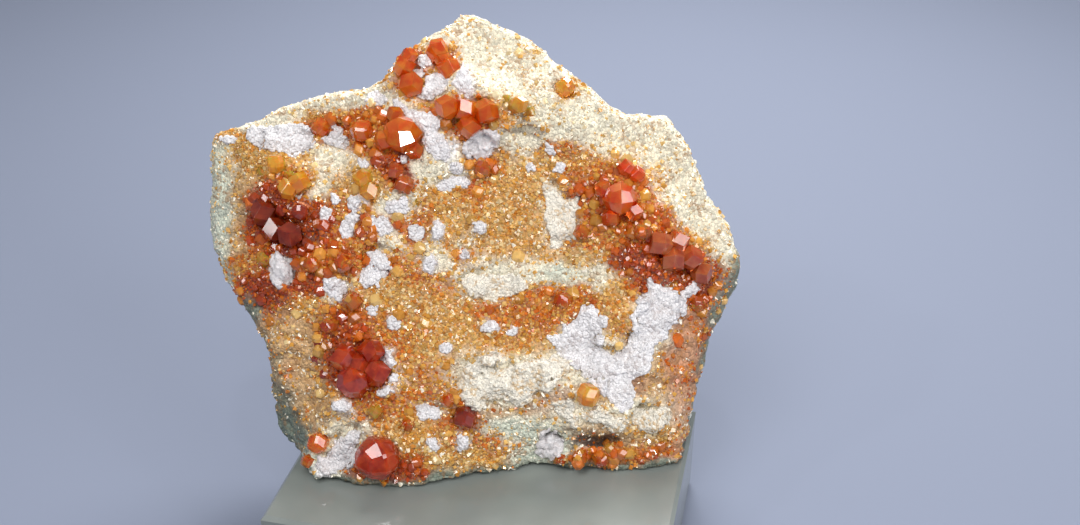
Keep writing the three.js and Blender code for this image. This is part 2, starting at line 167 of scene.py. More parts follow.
@dataclass
class Sketch:
    """Adds nodes to a node tree and joins them up."""

    tree: bpy.types.NodeTree

    def add(self, kind: str, **settings: object) -> bpy.types.Node:
        """Adds a node.

        Args:
            kind: the node's type.
            **settings: properties of the node and their values.

        Returns:
            The new node.
        """
        node = self.tree.nodes.new(kind)
        for name, value in settings.items():
            setattr(node, name, value)
        return node

    def feed(self, target: bpy.types.NodeSocket, source: object) -> None:
        """Joins a socket to another one, or sets it to a plain value.

        Args:
            target: the socket that is fed.
            source: another node's output socket, or a value.
        """
        if isinstance(source, bpy.types.NodeSocket):
            self.tree.links.new(source, target)
        else:
            target.default_value = source

    def math(self, operation: str, *values: object) -> bpy.types.NodeSocket:
        """Reckons with numbers.

        Args:
            operation: the name of the operation.
            *values: sockets or numbers.

        Returns:
            The socket with the result.
        """
        node = self.add("ShaderNodeMath", operation=operation)
        for socket, value in zip(node.inputs, values):
            self.feed(socket, value)
        return node.outputs[0]

    def scaled(self, value: object, factor: object, start: object) -> bpy.types.NodeSocket:
        """Multiplies a number and adds another one to it.

        Args:
            value: a socket or number.
            factor: what it is multiplied by.
            start: what is added.

        Returns:
            The socket with the result.
        """
        return self.math("ADD", self.math("MULTIPLY", value, factor), start)

    def vector(self, operation: str, *values: object) -> bpy.types.NodeSocket:
        """Reckons with vectors.

        Args:
            operation: the name of the operation.
            *values: sockets or vectors.

        Returns:
            The socket with the result.
        """
        node = self.add("ShaderNodeVectorMath", operation=operation)
        for socket, value in zip(node.inputs, values):
            self.feed(socket, value)
        return node.outputs[0]

    def stretched(self, vector: bpy.types.NodeSocket, size: object) -> bpy.types.NodeSocket:
        """Makes a vector longer by a number.

        Args:
            vector: the socket with the vector.
            size: a socket or number.

        Returns:
            The socket with the longer vector.
        """
        node = self.add("ShaderNodeVectorMath", operation="SCALE")
        self.feed(node.inputs["Vector"], vector)
        self.feed(node.inputs["Scale"], size)
        return node.outputs[0]

    def blend(self, share: object, first: object, second: object) -> bpy.types.NodeSocket:
        """Mixes two colours.

        Args:
            share: how much of the second colour shows.
            first: a socket or colour.
            second: a socket or colour.

        Returns:
            The socket with the mixed colour.
        """
        node = self.add("ShaderNodeMix", data_type="RGBA", clamp_factor=True)
        self.feed(node.inputs[0], share)
        self.feed(node.inputs[6], first)
        self.feed(node.inputs[7], second)
        return node.outputs[2]

    def ranged(self, value: object, low: object, high: object) -> bpy.types.NodeSocket:
        """Rises smoothly from 0 to 1 as a value goes from low to high.

        Args:
            value: a socket or number.
            low: where the rise starts.
            high: where it ends.

        Returns:
            The socket with the share.
        """
        node = self.add("ShaderNodeMapRange", interpolation_type="SMOOTHSTEP")
        self.feed(node.inputs["Value"], value)
        self.feed(node.inputs["From Min"], low)
        self.feed(node.inputs["From Max"], high)
        return node.outputs["Result"]

    def noise(self, place: bpy.types.NodeSocket, scale: object, detail: float) -> bpy.types.Node:
        """Adds a cloudy noise.

        Args:
            place: the socket with the position.
            scale: how many clouds there are to a metre.
            detail: how many finer layers it has.

        Returns:
            The noise node.
        """
        node = self.add("ShaderNodeTexNoise")
        self.feed(node.inputs["Vector"], place)
        self.feed(node.inputs["Scale"], scale)
        self.feed(node.inputs["Detail"], detail)
        return node

    def cells(self, place: bpy.types.NodeSocket, scale: object) -> bpy.types.Node:
        """Adds a pattern of cells, measured from their middles.

        Args:
            place: the socket with the position.
            scale: how many cells there are to a metre.

        Returns:
            The cell node.
        """
        node = self.add("ShaderNodeTexVoronoi", feature="F1")
        self.feed(node.inputs["Vector"], place)
        self.feed(node.inputs["Scale"], scale)
        return node


def new_tree(
    name: str,
    kind: str,
    inputs: dict[str, str],
    outputs: dict[str, str],
) -> tuple[Sketch, bpy.types.Node, bpy.types.Node]:
    """Makes a node tree with named inputs and outputs.

    Args:
        name: the tree's name.
        kind: GeometryNodeTree or ShaderNodeTree.
        inputs: the socket type of each input, by name.
        outputs: the socket type of each output, by name.

    Returns:
        The sketch of the tree, its input node and its output node.
    """
    tree = bpy.data.node_groups.new(name, kind)
    for in_out, sockets in (("INPUT", inputs), ("OUTPUT", outputs)):
        for socket_name, socket_type in sockets.items():
            tree.interface.new_socket(socket_name, in_out=in_out, socket_type=socket_type)
    sketch = Sketch(tree)
    return sketch, sketch.add("NodeGroupInput"), sketch.add("NodeGroupOutput")


def settle(piece: bpy.types.Object) -> None:
    """Turns a piece with its modifiers into a plain mesh.

    Args:
        piece: the object, which keeps its name.
    """
    graph = bpy.context.evaluated_depsgraph_get()
    shown = piece.evaluated_get(graph)
    mesh = bpy.data.meshes.new_from_object(shown, preserve_all_data_layers=True, depsgraph=graph)
    piece.modifiers.clear()
    rough = piece.data
    piece.data = mesh
    bpy.data.meshes.remove(rough)
    mesh.name = piece.name


def run_tree(piece: bpy.types.Object, tree: bpy.types.NodeTree, values: dict[str, object]) -> None:
    """Runs a geometry tree on a piece and keeps the result as its mesh.

    Args:
        piece: the object that the tree works on.
        tree: the geometry node tree.
        values: the value of each named input.
    """
    modifier = piece.modifiers.new(tree.name, "NODES")
    modifier.node_group = tree
    for item in tree.interface.items_tree:
        if item.in_out == "INPUT" and item.name in values:
            modifier[item.identifier] = values[item.name]
    settle(piece)


def new_piece(name: str, mesh: bpy.types.Mesh) -> bpy.types.Object:
    """Puts a mesh in the scene under a name.

    Args:
        name: the piece's name.
        mesh: its mesh, already in place.

    Returns:
        The new object.
    """
    piece = bpy.data.objects.new(name, mesh)
    bpy.context.scene.collection.objects.link(piece)
    return piece


def whole_copy(node: str, name: str) -> bpy.types.Object:
    """Copies a node's mesh with its loose triangles joined into one skin.

    Args:
        node: the node's name.
        name: the name of the copy.

    Returns:
        The new object.
    """
    shell = bmesh.new()
    shell.from_mesh(frame["nodes"][node].data)
    bmesh.ops.remove_doubles(shell, verts=shell.verts, dist=MERGE_DISTANCE)
    bmesh.ops.dissolve_limit(
        shell, angle_limit=NODE_FLAT_ANGLE, verts=shell.verts, edges=shell.edges
    )
    bmesh.ops.triangulate(shell, faces=[face for face in shell.faces if len(face.verts) > 4])
    mesh = bpy.data.meshes.new(name)
    shell.to_mesh(mesh)
    shell.free()
    return new_piece(name, mesh)


def remesh(piece: bpy.types.Object, voxel: float, smoothing: int) -> None:
    """Rebuilds a piece from small even faces and softens it.

    Args:
        piece: the object.
        voxel: the size of the new faces.
        smoothing: how many times it is softened.
    """
    even = piece.modifiers.new("even faces", "REMESH")
    even.mode = "VOXEL"
    even.voxel_size = voxel
    soften = piece.modifiers.new("soften", "SMOOTH")
    soften.factor = SOFTENING
    soften.iterations = smoothing
    settle(piece)


def swell(piece: bpy.types.Object, amount: float) -> None:
    """Moves every point of a closed mesh outwards.

    Args:
        piece: the object.
        amount: how far, measured square to the faces.
    """
    shell = bmesh.new()
    shell.from_mesh(piece.data)
    shell.normal_update()
    moves = []
    for vert in shell.verts:
        push = vert.normal
        lift = max((push.dot(face.normal) for face in vert.link_faces), default=1.0)
        moves.append(push * amount / max(lift, LEAST_LIFT))
    for vert, move in zip(shell.verts, moves):
        vert.co += move
    shell.to_mesh(piece.data)
    shell.free()


def corners_of(mesh: bpy.types.Mesh) -> np.ndarray:
    """Gives a mesh's corner positions, three numbers to a row."""
    flat = np.empty(3 * len(mesh.vertices), dtype=np.float32)
    mesh.vertices.foreach_get("co", flat)
    return flat.reshape(-1, 3).astype(np.float64)


def normals_of(mesh: bpy.types.Mesh) -> np.ndarray:
    """Gives a mesh's corner normals, three numbers to a row."""
    flat = np.empty(3 * len(mesh.vertices), dtype=np.float32)
    mesh.vertices.foreach_get("normal", flat)
    return flat.reshape(-1, 3).astype(np.float64)


def store(mesh: bpy.types.Mesh, name: str, values: np.ndarray) -> None:
    """Keeps a number or a colour for each corner of a mesh.

    Args:
        mesh: the mesh.
        name: the attribute's name.
        values: one number to a corner, or red, green and blue in a row.
    """
    if values.ndim == 1:
        attribute = mesh.attributes.new(name, "FLOAT", "POINT")
        attribute.data.foreach_set("value", values.astype(np.float32))
        return
    attribute = mesh.attributes.new(name, "FLOAT_COLOR", "POINT")
    full = np.concatenate([values, np.ones((len(values), 1))], axis=1)
    attribute.data.foreach_set("color", full.astype(np.float32).ravel())


def finish_piece(
    piece: bpy.types.Object,
    material: bpy.types.Material,
    stands_for: tuple[str, ...] = (),
    smooth: bool = True,
) -> None:
    """Gives a piece its material and ties it to the part.

    Args:
        piece: the object.
        material: its material.
        stands_for: the nodes that it replaces.
        smooth: whether its faces blend into one another.
    """
    mesh = piece.data
    mesh.materials.clear()
    mesh.materials.append(material)
    mesh.polygons.foreach_set("use_smooth", [smooth] * len(mesh.polygons))
    mesh.polygons.foreach_set("material_index", [0] * len(mesh.polygons))
    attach(piece, BODY)
    if stands_for:
        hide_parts(*stands_for)
    mesh.calc_loop_triangles()
    LOG.info("%s: %d triangles", piece.name, len(mesh.loop_triangles))


def search_tree(*meshes: bpy.types.Mesh) -> BVHTree:
    """Makes one search tree of the skins of some meshes.

    Args:
        *meshes: the meshes.

    Returns:
        The search tree.
    """
    points: list[Vector] = []
    faces: list[tuple[int, ...]] = []
    for mesh in meshes:
        start = len(points)
        points.extend(vert.co.copy() for vert in mesh.vertices)
        faces.extend(tuple(start + corner for corner in face.vertices) for face in mesh.polygons)
    return BVHTree.FromPolygons(points, faces)


# Effects that several materials share

# How fine the stone's finest and widest patterns are, next to its grains
FINE_PATTERN = 2.7
WIDE_PATTERN = 0.16

# The sizes of the streaks, clouds and inner faces in garnets
STREAK_SIZE = 0.6 * MM
CLOUD_SIZE = 1.9 * MM
INNER_FACE_SIZE = 1.5 * MM

# The colours of small garnets, by their tint
GEM_TINTS = (
    (0.0, (250, 232, 190)),
    (0.16, (242, 200, 122)),
    (0.34, (228, 164, 66)),
    (0.52, (220, 114, 28)),
    (0.72, (190, 72, 18)),
    (1.0, (112, 38, 20)),
)


def stone_grain_group() -> bpy.types.NodeTree:
    """Makes the sugary grain of feldspar and of the pale rock.

    Returns:
        A shader group with a colour, a roughness and a height.
    """
    sketch, given, result = new_tree(
        "Stone grain",
        "ShaderNodeTree",
        {
            "Color": "NodeSocketColor",
            "Speck Color": "NodeSocketColor",
            "Grains per Metre": "NodeSocketFloat",
            "Contrast": "NodeSocketFloat",
            "Specks": "NodeSocketFloat",
        },
        {"Color": "NodeSocketColor", "Roughness": "NodeSocketFloat", "Height": "NodeSocketFloat"},
    )
    place = sketch.add("ShaderNodeTexCoord").outputs["Object"]
    per_metre = given.outputs["Grains per Metre"]
    grains = sketch.cells(place, per_metre)
    fine = sketch.noise(place, sketch.math("MULTIPLY", per_metre, FINE_PATTERN), 3.0)
    wide = sketch.noise(place, sketch.math("MULTIPLY", per_metre, WIDE_PATTERN), 4.0)
    cell_tone = sketch.add("ShaderNodeSeparateColor")
    sketch.feed(cell_tone.inputs[0], grains.outputs["Color"])
    tone = sketch.math("ADD", cell_tone.outputs[0], fine.outputs["Fac"])
    tone = sketch.scaled(sketch.math("SUBTRACT", tone, 1.0), given.outputs["Contrast"], 1.0)
    lit = sketch.stretched(given.outputs["Color"], tone)
    speckle = sketch.ranged(cell_tone.outputs[1], 0.4, 0.85)
    cloud = sketch.ranged(wide.outputs["Fac"], 0.44, 0.6)
    share = sketch.math("MULTIPLY", speckle, cloud)
    share = sketch.math("MULTIPLY", share, given.outputs["Specks"])
    colour = sketch.blend(share, lit, given.outputs["Speck Color"])
    gap = sketch.ranged(grains.outputs["Distance"], 0.75, 0.35)
    height = sketch.scaled(fine.outputs["Fac"], 0.45, gap)
    dull = sketch.scaled(cell_tone.outputs[2], 0.35, 0.45)
    sketch.feed(result.inputs["Color"], colour)
    sketch.feed(result.inputs["Roughness"], dull)
    sketch.feed(result.inputs["Height"], height)
    return sketch.tree


def crystal_tint_group() -> bpy.types.NodeTree:
    """Makes the colours of the small garnets, from pale gold to dark red.

    Returns:
        A shader group with a colour and a roughness.
    """
    sketch, given, result = new_tree(
        "Crystal tint",
        "ShaderNodeTree",
        {"Brightness": "NodeSocketFloat"},
        {"Color": "NodeSocketColor", "Roughness": "NodeSocketFloat"},
    )
    tint = sketch.add("ShaderNodeAttribute", attribute_name="tint").outputs["Fac"]
    shade = sketch.add("ShaderNodeAttribute", attribute_name="shade").outputs["Fac"]
    ramp = sketch.add("ShaderNodeValToRGB")
    for index, (position, colour) in enumerate(GEM_TINTS):
        if index < 2:
            stop = ramp.color_ramp.elements[index]
            stop.position = position
        else:
            stop = ramp.color_ramp.elements.new(position)
        stop.color = linear(colour)
    sketch.feed(ramp.inputs[0], tint)
    place = sketch.add("ShaderNodeTexCoord").outputs["Object"]
    streak = sketch.noise(place, 1 / STREAK_SIZE, 2.0)
    light = sketch.math("MULTIPLY", sketch.scaled(shade, 0.5, 0.75), given.outputs["Brightness"])
    light = sketch.math("MULTIPLY", light, sketch.scaled(streak.outputs["Fac"], 0.5, 0.75))
    sketch.feed(result.inputs["Color"], sketch.stretched(ramp.outputs[0], light))
    sketch.feed(result.inputs["Roughness"], sketch.scaled(streak.outputs["Fac"], 0.16, 0.02))
    return sketch.tree


def garnet_depth_group() -> bpy.types.NodeTree:
    """Makes the flaws in a larger garnet.

    Returns:
        A shader group with a colour and a roughness.
    """
    sketch, given, result = new_tree(
        "Garnet depth",
        "ShaderNodeTree",
        {"Deep": "NodeSocketColor", "Glow": "NodeSocketColor"},
        {"Color": "NodeSocketColor", "Roughness": "NodeSocketFloat"},
    )
    place = sketch.add("ShaderNodeTexCoord").outputs["Object"]
    cloud = sketch.noise(place, 1 / CLOUD_SIZE, 3.0)
    facets = sketch.cells(place, 1 / INNER_FACE_SIZE)
    facet_tone = sketch.add("ShaderNodeSeparateColor")
    sketch.feed(facet_tone.inputs[0], facets.outputs["Color"])
    share = sketch.ranged(cloud.outputs["Fac"], 0.36, 0.62)
    share = sketch.scaled(share, 0.55, sketch.math("MULTIPLY", facet_tone.outputs[0], 0.4))
    colour = sketch.blend(share, given.outputs["Deep"], given.outputs["Glow"])
    sketch.feed(result.inputs["Color"], colour)
    sketch.feed(result.inputs["Roughness"], sketch.scaled(cloud.outputs["Fac"], 0.06, 0.01))
    return sketch.tree


def new_material(name: str) -> tuple[bpy.types.Material, Sketch, bpy.types.Node]:
    """Starts a material.

    Args:
        name: the material's name.

    Returns:
        The material, the sketch of its nodes and its Principled shader.
    """
    material = bpy.data.materials.new(name)
    material.use_nodes = True
    sketch = Sketch(material.node_tree)
    return material, sketch, material.node_tree.nodes["Principled BSDF"]


def place_group(sketch: Sketch, tree: bpy.types.NodeTree, values: dict[str, object]) -> bpy.types.Node:
    """Puts a shared effect in a material.

    Args:
        sketch: the material's sketch.
        tree: the shader group.
        values: the value or socket for each named input.

    Returns:
        The group node.
    """
    node = sketch.add("ShaderNodeGroup", node_tree=tree)
    for name, value in values.items():
        sketch.feed(node.inputs[name], value)
    return node


def add_bump(
    sketch: Sketch,
    shader: bpy.types.Node,
    height: bpy.types.NodeSocket,
    distance: float,
    strength: float,
) -> None:
    """Lets a height roughen a shader's surface.

    Args:
        sketch: the material's sketch.
        shader: the Principled shader.
        height: the socket with the height.
        distance: how deep a height of one is.
        strength: how strongly it shows.
    """
    bump = sketch.add("ShaderNodeBump")
    sketch.feed(bump.inputs["Height"], height)
    bump.inputs["Distance"].default_value = distance
    bump.inputs["Strength"].default_value = strength
    sketch.feed(shader.inputs["Normal"], bump.outputs["Normal"])


def add_absorption(
    material: bpy.types.Material,
    sketch: Sketch,
    colour: Rgb,
    density: float,
) -> None:
    """Lets light take on colour on its way through a clear material.

    Args:
        material: the material.
        sketch: the material's sketch.
        colour: the colour that the light turns to.
        density: how fast it turns, to a metre.
    """
    absorption = sketch.add("ShaderNodeVolumeAbsorption")
    absorption.inputs["Color"].default_value = linear(colour)
    absorption.inputs["Density"].default_value = density
    output = material.node_tree.nodes["Material Output"]
    sketch.feed(output.inputs["Volume"], absorption.outputs["Volume"])


@dataclass(frozen=True)
class StoneFinish:
    """Opaque, sugary stone. Its colour may be the name of the attribute that holds it."""

    name: str
    colour: Rgb | str
    speck: Rgb
    grain: float
    contrast: float
    specks: float
    bump: float
    bump_strength: float = 0.9

    def make(self, grain_group: bpy.types.NodeTree) -> bpy.types.Material:
        """Makes the material.

        Args:
            grain_group: the shared stone grain.

        Returns:
            The material.
        """
        material, sketch, shader = new_material(self.name)
        if isinstance(self.colour, str):
            held = sketch.add("ShaderNodeAttribute", attribute_name=self.colour)
            colour: object = held.outputs["Color"]
        else:
            colour = linear(self.colour)
        grain = place_group(sketch, grain_group, {
            "Color": colour,
            "Speck Color": linear(self.speck),
            "Grains per Metre": 1 / self.grain,
            "Contrast": self.contrast,
            "Specks": self.specks,
        })
        sketch.feed(shader.inputs["Base Color"], grain.outputs["Color"])
        sketch.feed(shader.inputs["Roughness"], grain.outputs["Roughness"])
        shader.inputs["IOR"].default_value = FELDSPAR_IOR
        add_bump(sketch, shader, grain.outputs["Height"], self.bump, self.bump_strength)
        return material


@dataclass(frozen=True)
class DruseFinish:
    """Small garnets, each with a colour of its own."""

    name: str
    brightness: float
    transmission: float

    def make(self, tint_group: bpy.types.NodeTree) -> bpy.types.Material:
        """Makes the material.

        Args:
            tint_group: the shared crystal tint.

        Returns:
            The material.
        """
        material, sketch, shader = new_material(self.name)
        tint = place_group(sketch, tint_group, {"Brightness": self.brightness})
        sketch.feed(shader.inputs["Base Color"], tint.outputs["Color"])
        sketch.feed(shader.inputs["Roughness"], tint.outputs["Roughness"])
        shader.inputs["IOR"].default_value = GARNET_IOR
        shader.inputs["Transmission Weight"].default_value = self.transmission
        return material


@dataclass(frozen=True)
class GarnetFinish:
    """A larger garnet, clear with flaws."""

    name: str
    deep: Rgb
    glow: Rgb
    absorbed: Rgb
    density: float
    transmission: float = 0.62
    scatter: float = 0.8
    scatter_reach: float = 1.4 * MM
    scatter_hue: tuple[float, float, float] = (1.0, 0.3, 0.1)

    def make(self, depth_group: bpy.types.NodeTree) -> bpy.types.Material:
        """Makes the material.

        Args:
            depth_group: the shared garnet depth.

        Returns:
            The material.
        """
        material, sketch, shader = new_material(self.name)
        depth = place_group(sketch, depth_group, {
            "Deep": linear(self.deep),
            "Glow": linear(self.glow),
        })
        sketch.feed(shader.inputs["Base Color"], depth.outputs["Color"])
        sketch.feed(shader.inputs["Roughness"], depth.outputs["Roughness"])
        shader.inputs["IOR"].default_value = GARNET_IOR
        shader.inputs["Transmission Weight"].default_value = self.transmission
        shader.inputs["Subsurface Weight"].default_value = self.scatter
        shader.inputs["Subsurface Radius"].default_value = self.scatter_hue
        shader.inputs["Subsurface Scale"].default_value = self.scatter_reach
        add_absorption(material, sketch, self.absorbed, self.density)
        return material


@dataclass(frozen=True)
class QuartzFinish:
    """Cloudy grey quartz."""

    name: str = "Cloudy quartz"
    colour: Rgb = (236, 230, 230)
    cloud: Rgb = (250, 248, 248)
    absorbed: Rgb = (214, 206, 200)
    density: float = 24.0
    transmission: float = 0.3
    grain: float = 0.8 * MM
    contrast: float = 0.25
    clouds: float = 0.8
    polish: float = 0.45
    bump: float = 0.06 * MM
    bump_strength: float = 0.5

    def make(self, grain_group: bpy.types.NodeTree) -> bpy.types.Material:
        """Makes the material.

        Args:
            grain_group: the shared stone grain.

        Returns:
            The material.
        """
        material, sketch, shader = new_material(self.name)
        grain = place_group(sketch, grain_group, {
            "Color": linear(self.colour),
            "Speck Color": linear(self.cloud),
            "Grains per Metre": 1 / self.grain,
            "Contrast": self.contrast,
            "Specks": self.clouds,
        })
        sketch.feed(shader.inputs["Base Color"], grain.outputs["Color"])
        gloss = sketch.math("MULTIPLY", grain.outputs["Roughness"], self.polish)
        sketch.feed(shader.inputs["Roughness"], gloss)
        shader.inputs["IOR"].default_value = QUARTZ_IOR
        shader.inputs["Transmission Weight"].default_value = self.transmission
        add_bump(sketch, shader, grain.outputs["Height"], self.bump, self.bump_strength)
        add_absorption(material, sketch, self.absorbed, self.density)
        return material


@dataclass(frozen=True)
class BlockFinish:
    """The display block's polished, grey-green face."""

    name: str = "Polished block"
    colour: Rgb = (120, 126, 122)
    paler: Rgb = (142, 147, 142)
    cloud_size: float = 22 * MM
    smear_size: float = 3 * MM
    coat: float = 0.4
    coat_roughness: float = 0.12

    def make(self) -> bpy.types.Material:
        """Makes the material.

        Returns:
            The material.
        """
        material, sketch, shader = new_material(self.name)
        place = sketch.add("ShaderNodeTexCoord").outputs["Object"]
        cloud = sketch.noise(place, 1 / self.cloud_size, 3.0)
        smear = sketch.noise(place, 1 / self.smear_size, 4.0)
        share = sketch.ranged(cloud.outputs["Fac"], 0.35, 0.7)
        colour = sketch.blend(share, linear(self.colour), linear(self.paler))
        sketch.feed(shader.inputs["Base Color"], colour)
        sketch.feed(shader.inputs["Roughness"], sketch.scaled(smear.outputs["Fac"], 0.12, 0.16))
        shader.inputs["IOR"].default_value = ACRYLIC_IOR
        shader.inputs["Coat Weight"].default_value = self.coat
        shader.inputs["Coat Roughness"].default_value = self.coat_roughness
        return material


# Geometry trees

# Ledges run across the stone. Points stand this dense next to their spacing, and most
# crystals stay small.
LEDGE_RUN = (0.22, 1.0, 1.0)
POINT_DENSITY = 3.0
GROWTH_POWER = 2.2


def rough_surface_tree() -> bpy.types.NodeTree:
    """Makes the tree that gives a stone its lumps, ledges and grains.

    Returns:
        A geometry node tree.
    """
    sketch, given, result = new_tree(
        "Rough surface",
        "GeometryNodeTree",
        {
            "Geometry": "NodeSocketGeometry",
            "Lump Size": "NodeSocketFloat",
            "Lump Height": "NodeSocketFloat",
            "Wander": "NodeSocketFloat",
            "Grain Size": "NodeSocketFloat",
            "Grain Height": "NodeSocketFloat",
            "Ledge Size": "NodeSocketFloat",
            "Ledge Height": "NodeSocketFloat",
        },
        {"Geometry": "NodeSocketGeometry"},
    )
    place = sketch.add("GeometryNodeInputPosition").outputs[0]
    normal = sketch.add("GeometryNodeInputNormal").outputs[0]
    lump_scale = sketch.math("DIVIDE", 1.0, given.outputs["Lump Size"])
    lumps = sketch.noise(place, lump_scale, 4.0)
    lump = sketch.math("SUBTRACT", lumps.outputs["Fac"], 0.5)
    lump = sketch.math("MULTIPLY", lump, given.outputs["Lump Height"])
    grain_scale = sketch.math("DIVIDE", 1.0, given.outputs["Grain Size"])
    grains = sketch.cells(place, grain_scale)
    grain = sketch.math("SUBTRACT", 0.5, grains.outputs["Distance"])
    grain = sketch.math("MULTIPLY", grain, given.outputs["Grain Height"])
    ledge_scale = sketch.math("DIVIDE", 1.0, given.outputs["Ledge Size"])
    along = sketch.vector("MULTIPLY", place, LEDGE_RUN)
    ledges = sketch.noise(along, ledge_scale, 5.0)
    ledge = sketch.ranged(ledges.outputs["Fac"], 0.42, 0.58)
    ledge = sketch.math("SUBTRACT", ledge, 0.5)
    ledge = sketch.math("MULTIPLY", ledge, given.outputs["Ledge Height"])
    where = sketch.add("GeometryNodeInputNamedAttribute", data_type="FLOAT")
    where.inputs["Name"].default_value = "ledge"
    ledge = sketch.math("MULTIPLY", ledge, where.outputs["Attribute"])
    total = sketch.math("ADD", sketch.math("ADD", lump, grain), ledge)
    outwards = sketch.stretched(normal, total)
    drift = sketch.vector("SUBTRACT", lumps.outputs["Color"], (0.5, 0.5, 0.5))
    drift = sketch.stretched(drift, given.outputs["Wander"])
    offset = sketch.vector("ADD", outwards, drift)
    shift = sketch.add("GeometryNodeSetPosition")
    sketch.feed(shift.inputs["Geometry"], given.outputs["Geometry"])
    sketch.feed(shift.inputs["Offset"], offset)
    sketch.feed(result.inputs["Geometry"], shift.outputs["Geometry"])
    return sketch.tree


def druse_tree() -> bpy.types.NodeTree:
    """Makes the tree that grows small crystals over a bed of rock.

    Returns:
        A geometry node tree.
    """
    sketch, given, result = new_tree(
        "Druse",
        "GeometryNodeTree",
        {
            "Geometry": "NodeSocketGeometry",
            "Crystals": "NodeSocketCollection",
            "Where": "NodeSocketString",
            "Spacing": "NodeSocketFloat",
            "Smallest": "NodeSocketFloat",
            "Largest": "NodeSocketFloat",
            "Sink": "NodeSocketFloat",
            "Tint Range": "NodeSocketFloat",
            "Seed": "NodeSocketInt",
            "Finish": "NodeSocketMaterial",
        },
        {"Geometry": "NodeSocketGeometry"},
    )
    where = sketch.add("GeometryNodeInputNamedAttribute", data_type="FLOAT")
    sketch.feed(where.inputs["Name"], given.outputs["Where"])
    warmth = sketch.add("GeometryNodeInputNamedAttribute", data_type="FLOAT")
    warmth.inputs["Name"].default_value = "warmth"
    spread = sketch.add("GeometryNodeDistributePointsOnFaces", distribute_method="POISSON")
    sketch.feed(spread.inputs["Mesh"], given.outputs["Geometry"])
    sketch.feed(spread.inputs["Distance Min"], given.outputs["Spacing"])
    crowd = sketch.math("MULTIPLY", given.outputs["Spacing"], given.outputs["Spacing"])
    sketch.feed(spread.inputs["Density Max"], sketch.math("DIVIDE", POINT_DENSITY, crowd))
    sketch.feed(spread.inputs["Density Factor"], where.outputs["Attribute"])
    sketch.feed(spread.inputs["Seed"], given.outputs["Seed"])

    def chance(offset: int) -> bpy.types.NodeSocket:
        """Gives a random number from 0 to 1 for each crystal.

        Args:
            offset: what is added to the seed.

        Returns:
            The socket with the number.
        """
        node = sketch.add("FunctionNodeRandomValue", data_type="FLOAT")
        sketch.feed(node.inputs["Seed"], sketch.math("ADD", given.outputs["Seed"], float(offset)))
        return node.outputs[1]

    growth = sketch.math("POWER", chance(1), GROWTH_POWER)
    reach = sketch.math("SUBTRACT", given.outputs["Largest"], given.outputs["Smallest"])
    size = sketch.scaled(growth, reach, given.outputs["Smallest"])
    turn = sketch.add("FunctionNodeRandomValue", data_type="FLOAT_VECTOR")
    turn.inputs[1].default_value = (math.tau, math.tau, math.tau)
    sketch.feed(turn.inputs["Seed"], given.outputs["Seed"])
    sunk = sketch.add("GeometryNodeSetPosition")
    sketch.feed(sunk.inputs["Geometry"], spread.outputs["Points"])
    depth = sketch.math("MULTIPLY", size, sketch.math("MULTIPLY", given.outputs["Sink"], -1.0))
    sketch.feed(sunk.inputs["Offset"], sketch.stretched(spread.outputs["Normal"], depth))
    shapes = sketch.add("GeometryNodeCollectionInfo")
    sketch.feed(shapes.inputs["Collection"], given.outputs["Crystals"])
    shapes.inputs["Separate Children"].default_value = True
    shapes.inputs["Reset Children"].default_value = True
    grown = sketch.add("GeometryNodeInstanceOnPoints")
    sketch.feed(grown.inputs["Points"], sunk.outputs["Geometry"])
    sketch.feed(grown.inputs["Instance"], shapes.outputs[0])
    grown.inputs["Pick Instance"].default_value = True
    sketch.feed(grown.inputs["Rotation"], turn.outputs[0])
    sketch.feed(grown.inputs["Scale"], size)
    off_middle = sketch.math("SUBTRACT", chance(2), 0.5)
    tint = sketch.scaled(off_middle, given.outputs["Tint Range"], warmth.outputs["Attribute"])
    tinted = sketch.add("GeometryNodeStoreNamedAttribute", data_type="FLOAT", domain="INSTANCE")
    sketch.feed(tinted.inputs["Geometry"], grown.outputs["Instances"])
    tinted.inputs["Name"].default_value = "tint"
    sketch.feed(tinted.inputs["Value"], tint)
    shaded = sketch.add("GeometryNodeStoreNamedAttribute", data_type="FLOAT", domain="INSTANCE")
    sketch.feed(shaded.inputs["Geometry"], tinted.outputs["Geometry"])
    shaded.inputs["Name"].default_value = "shade"
    sketch.feed(shaded.inputs["Value"], chance(3))
    real = sketch.add("GeometryNodeRealizeInstances")
    sketch.feed(real.inputs["Geometry"], shaded.outputs["Geometry"])
    dressed = sketch.add("GeometryNodeSetMaterial")
    sketch.feed(dressed.inputs["Geometry"], real.outputs["Geometry"])
    sketch.feed(dressed.inputs["Material"], given.outputs["Finish"])
    sketch.feed(result.inputs["Geometry"], dressed.outputs["Geometry"])
    return sketch.tree


# Crystal shapes, with a radius of about one. The reaches are how far out points and faces lie.

GRAIN_POINTS = 9
GRAIN_REACH = (0.75, 1.15)
SHARD_REACH = (0.42, 0.82)
DIAMOND_REACH = 0.88
EDGE_REACH = (0.9, 0.98)
LEAST_SLANT = 0.02


class Form(Enum):
    """The shapes that the grains and crystals grow in."""

    EDGED = "diamond faces with narrow faces along their edges"
    GRAIN = "uneven grain"
    SHARD = "few large faces"


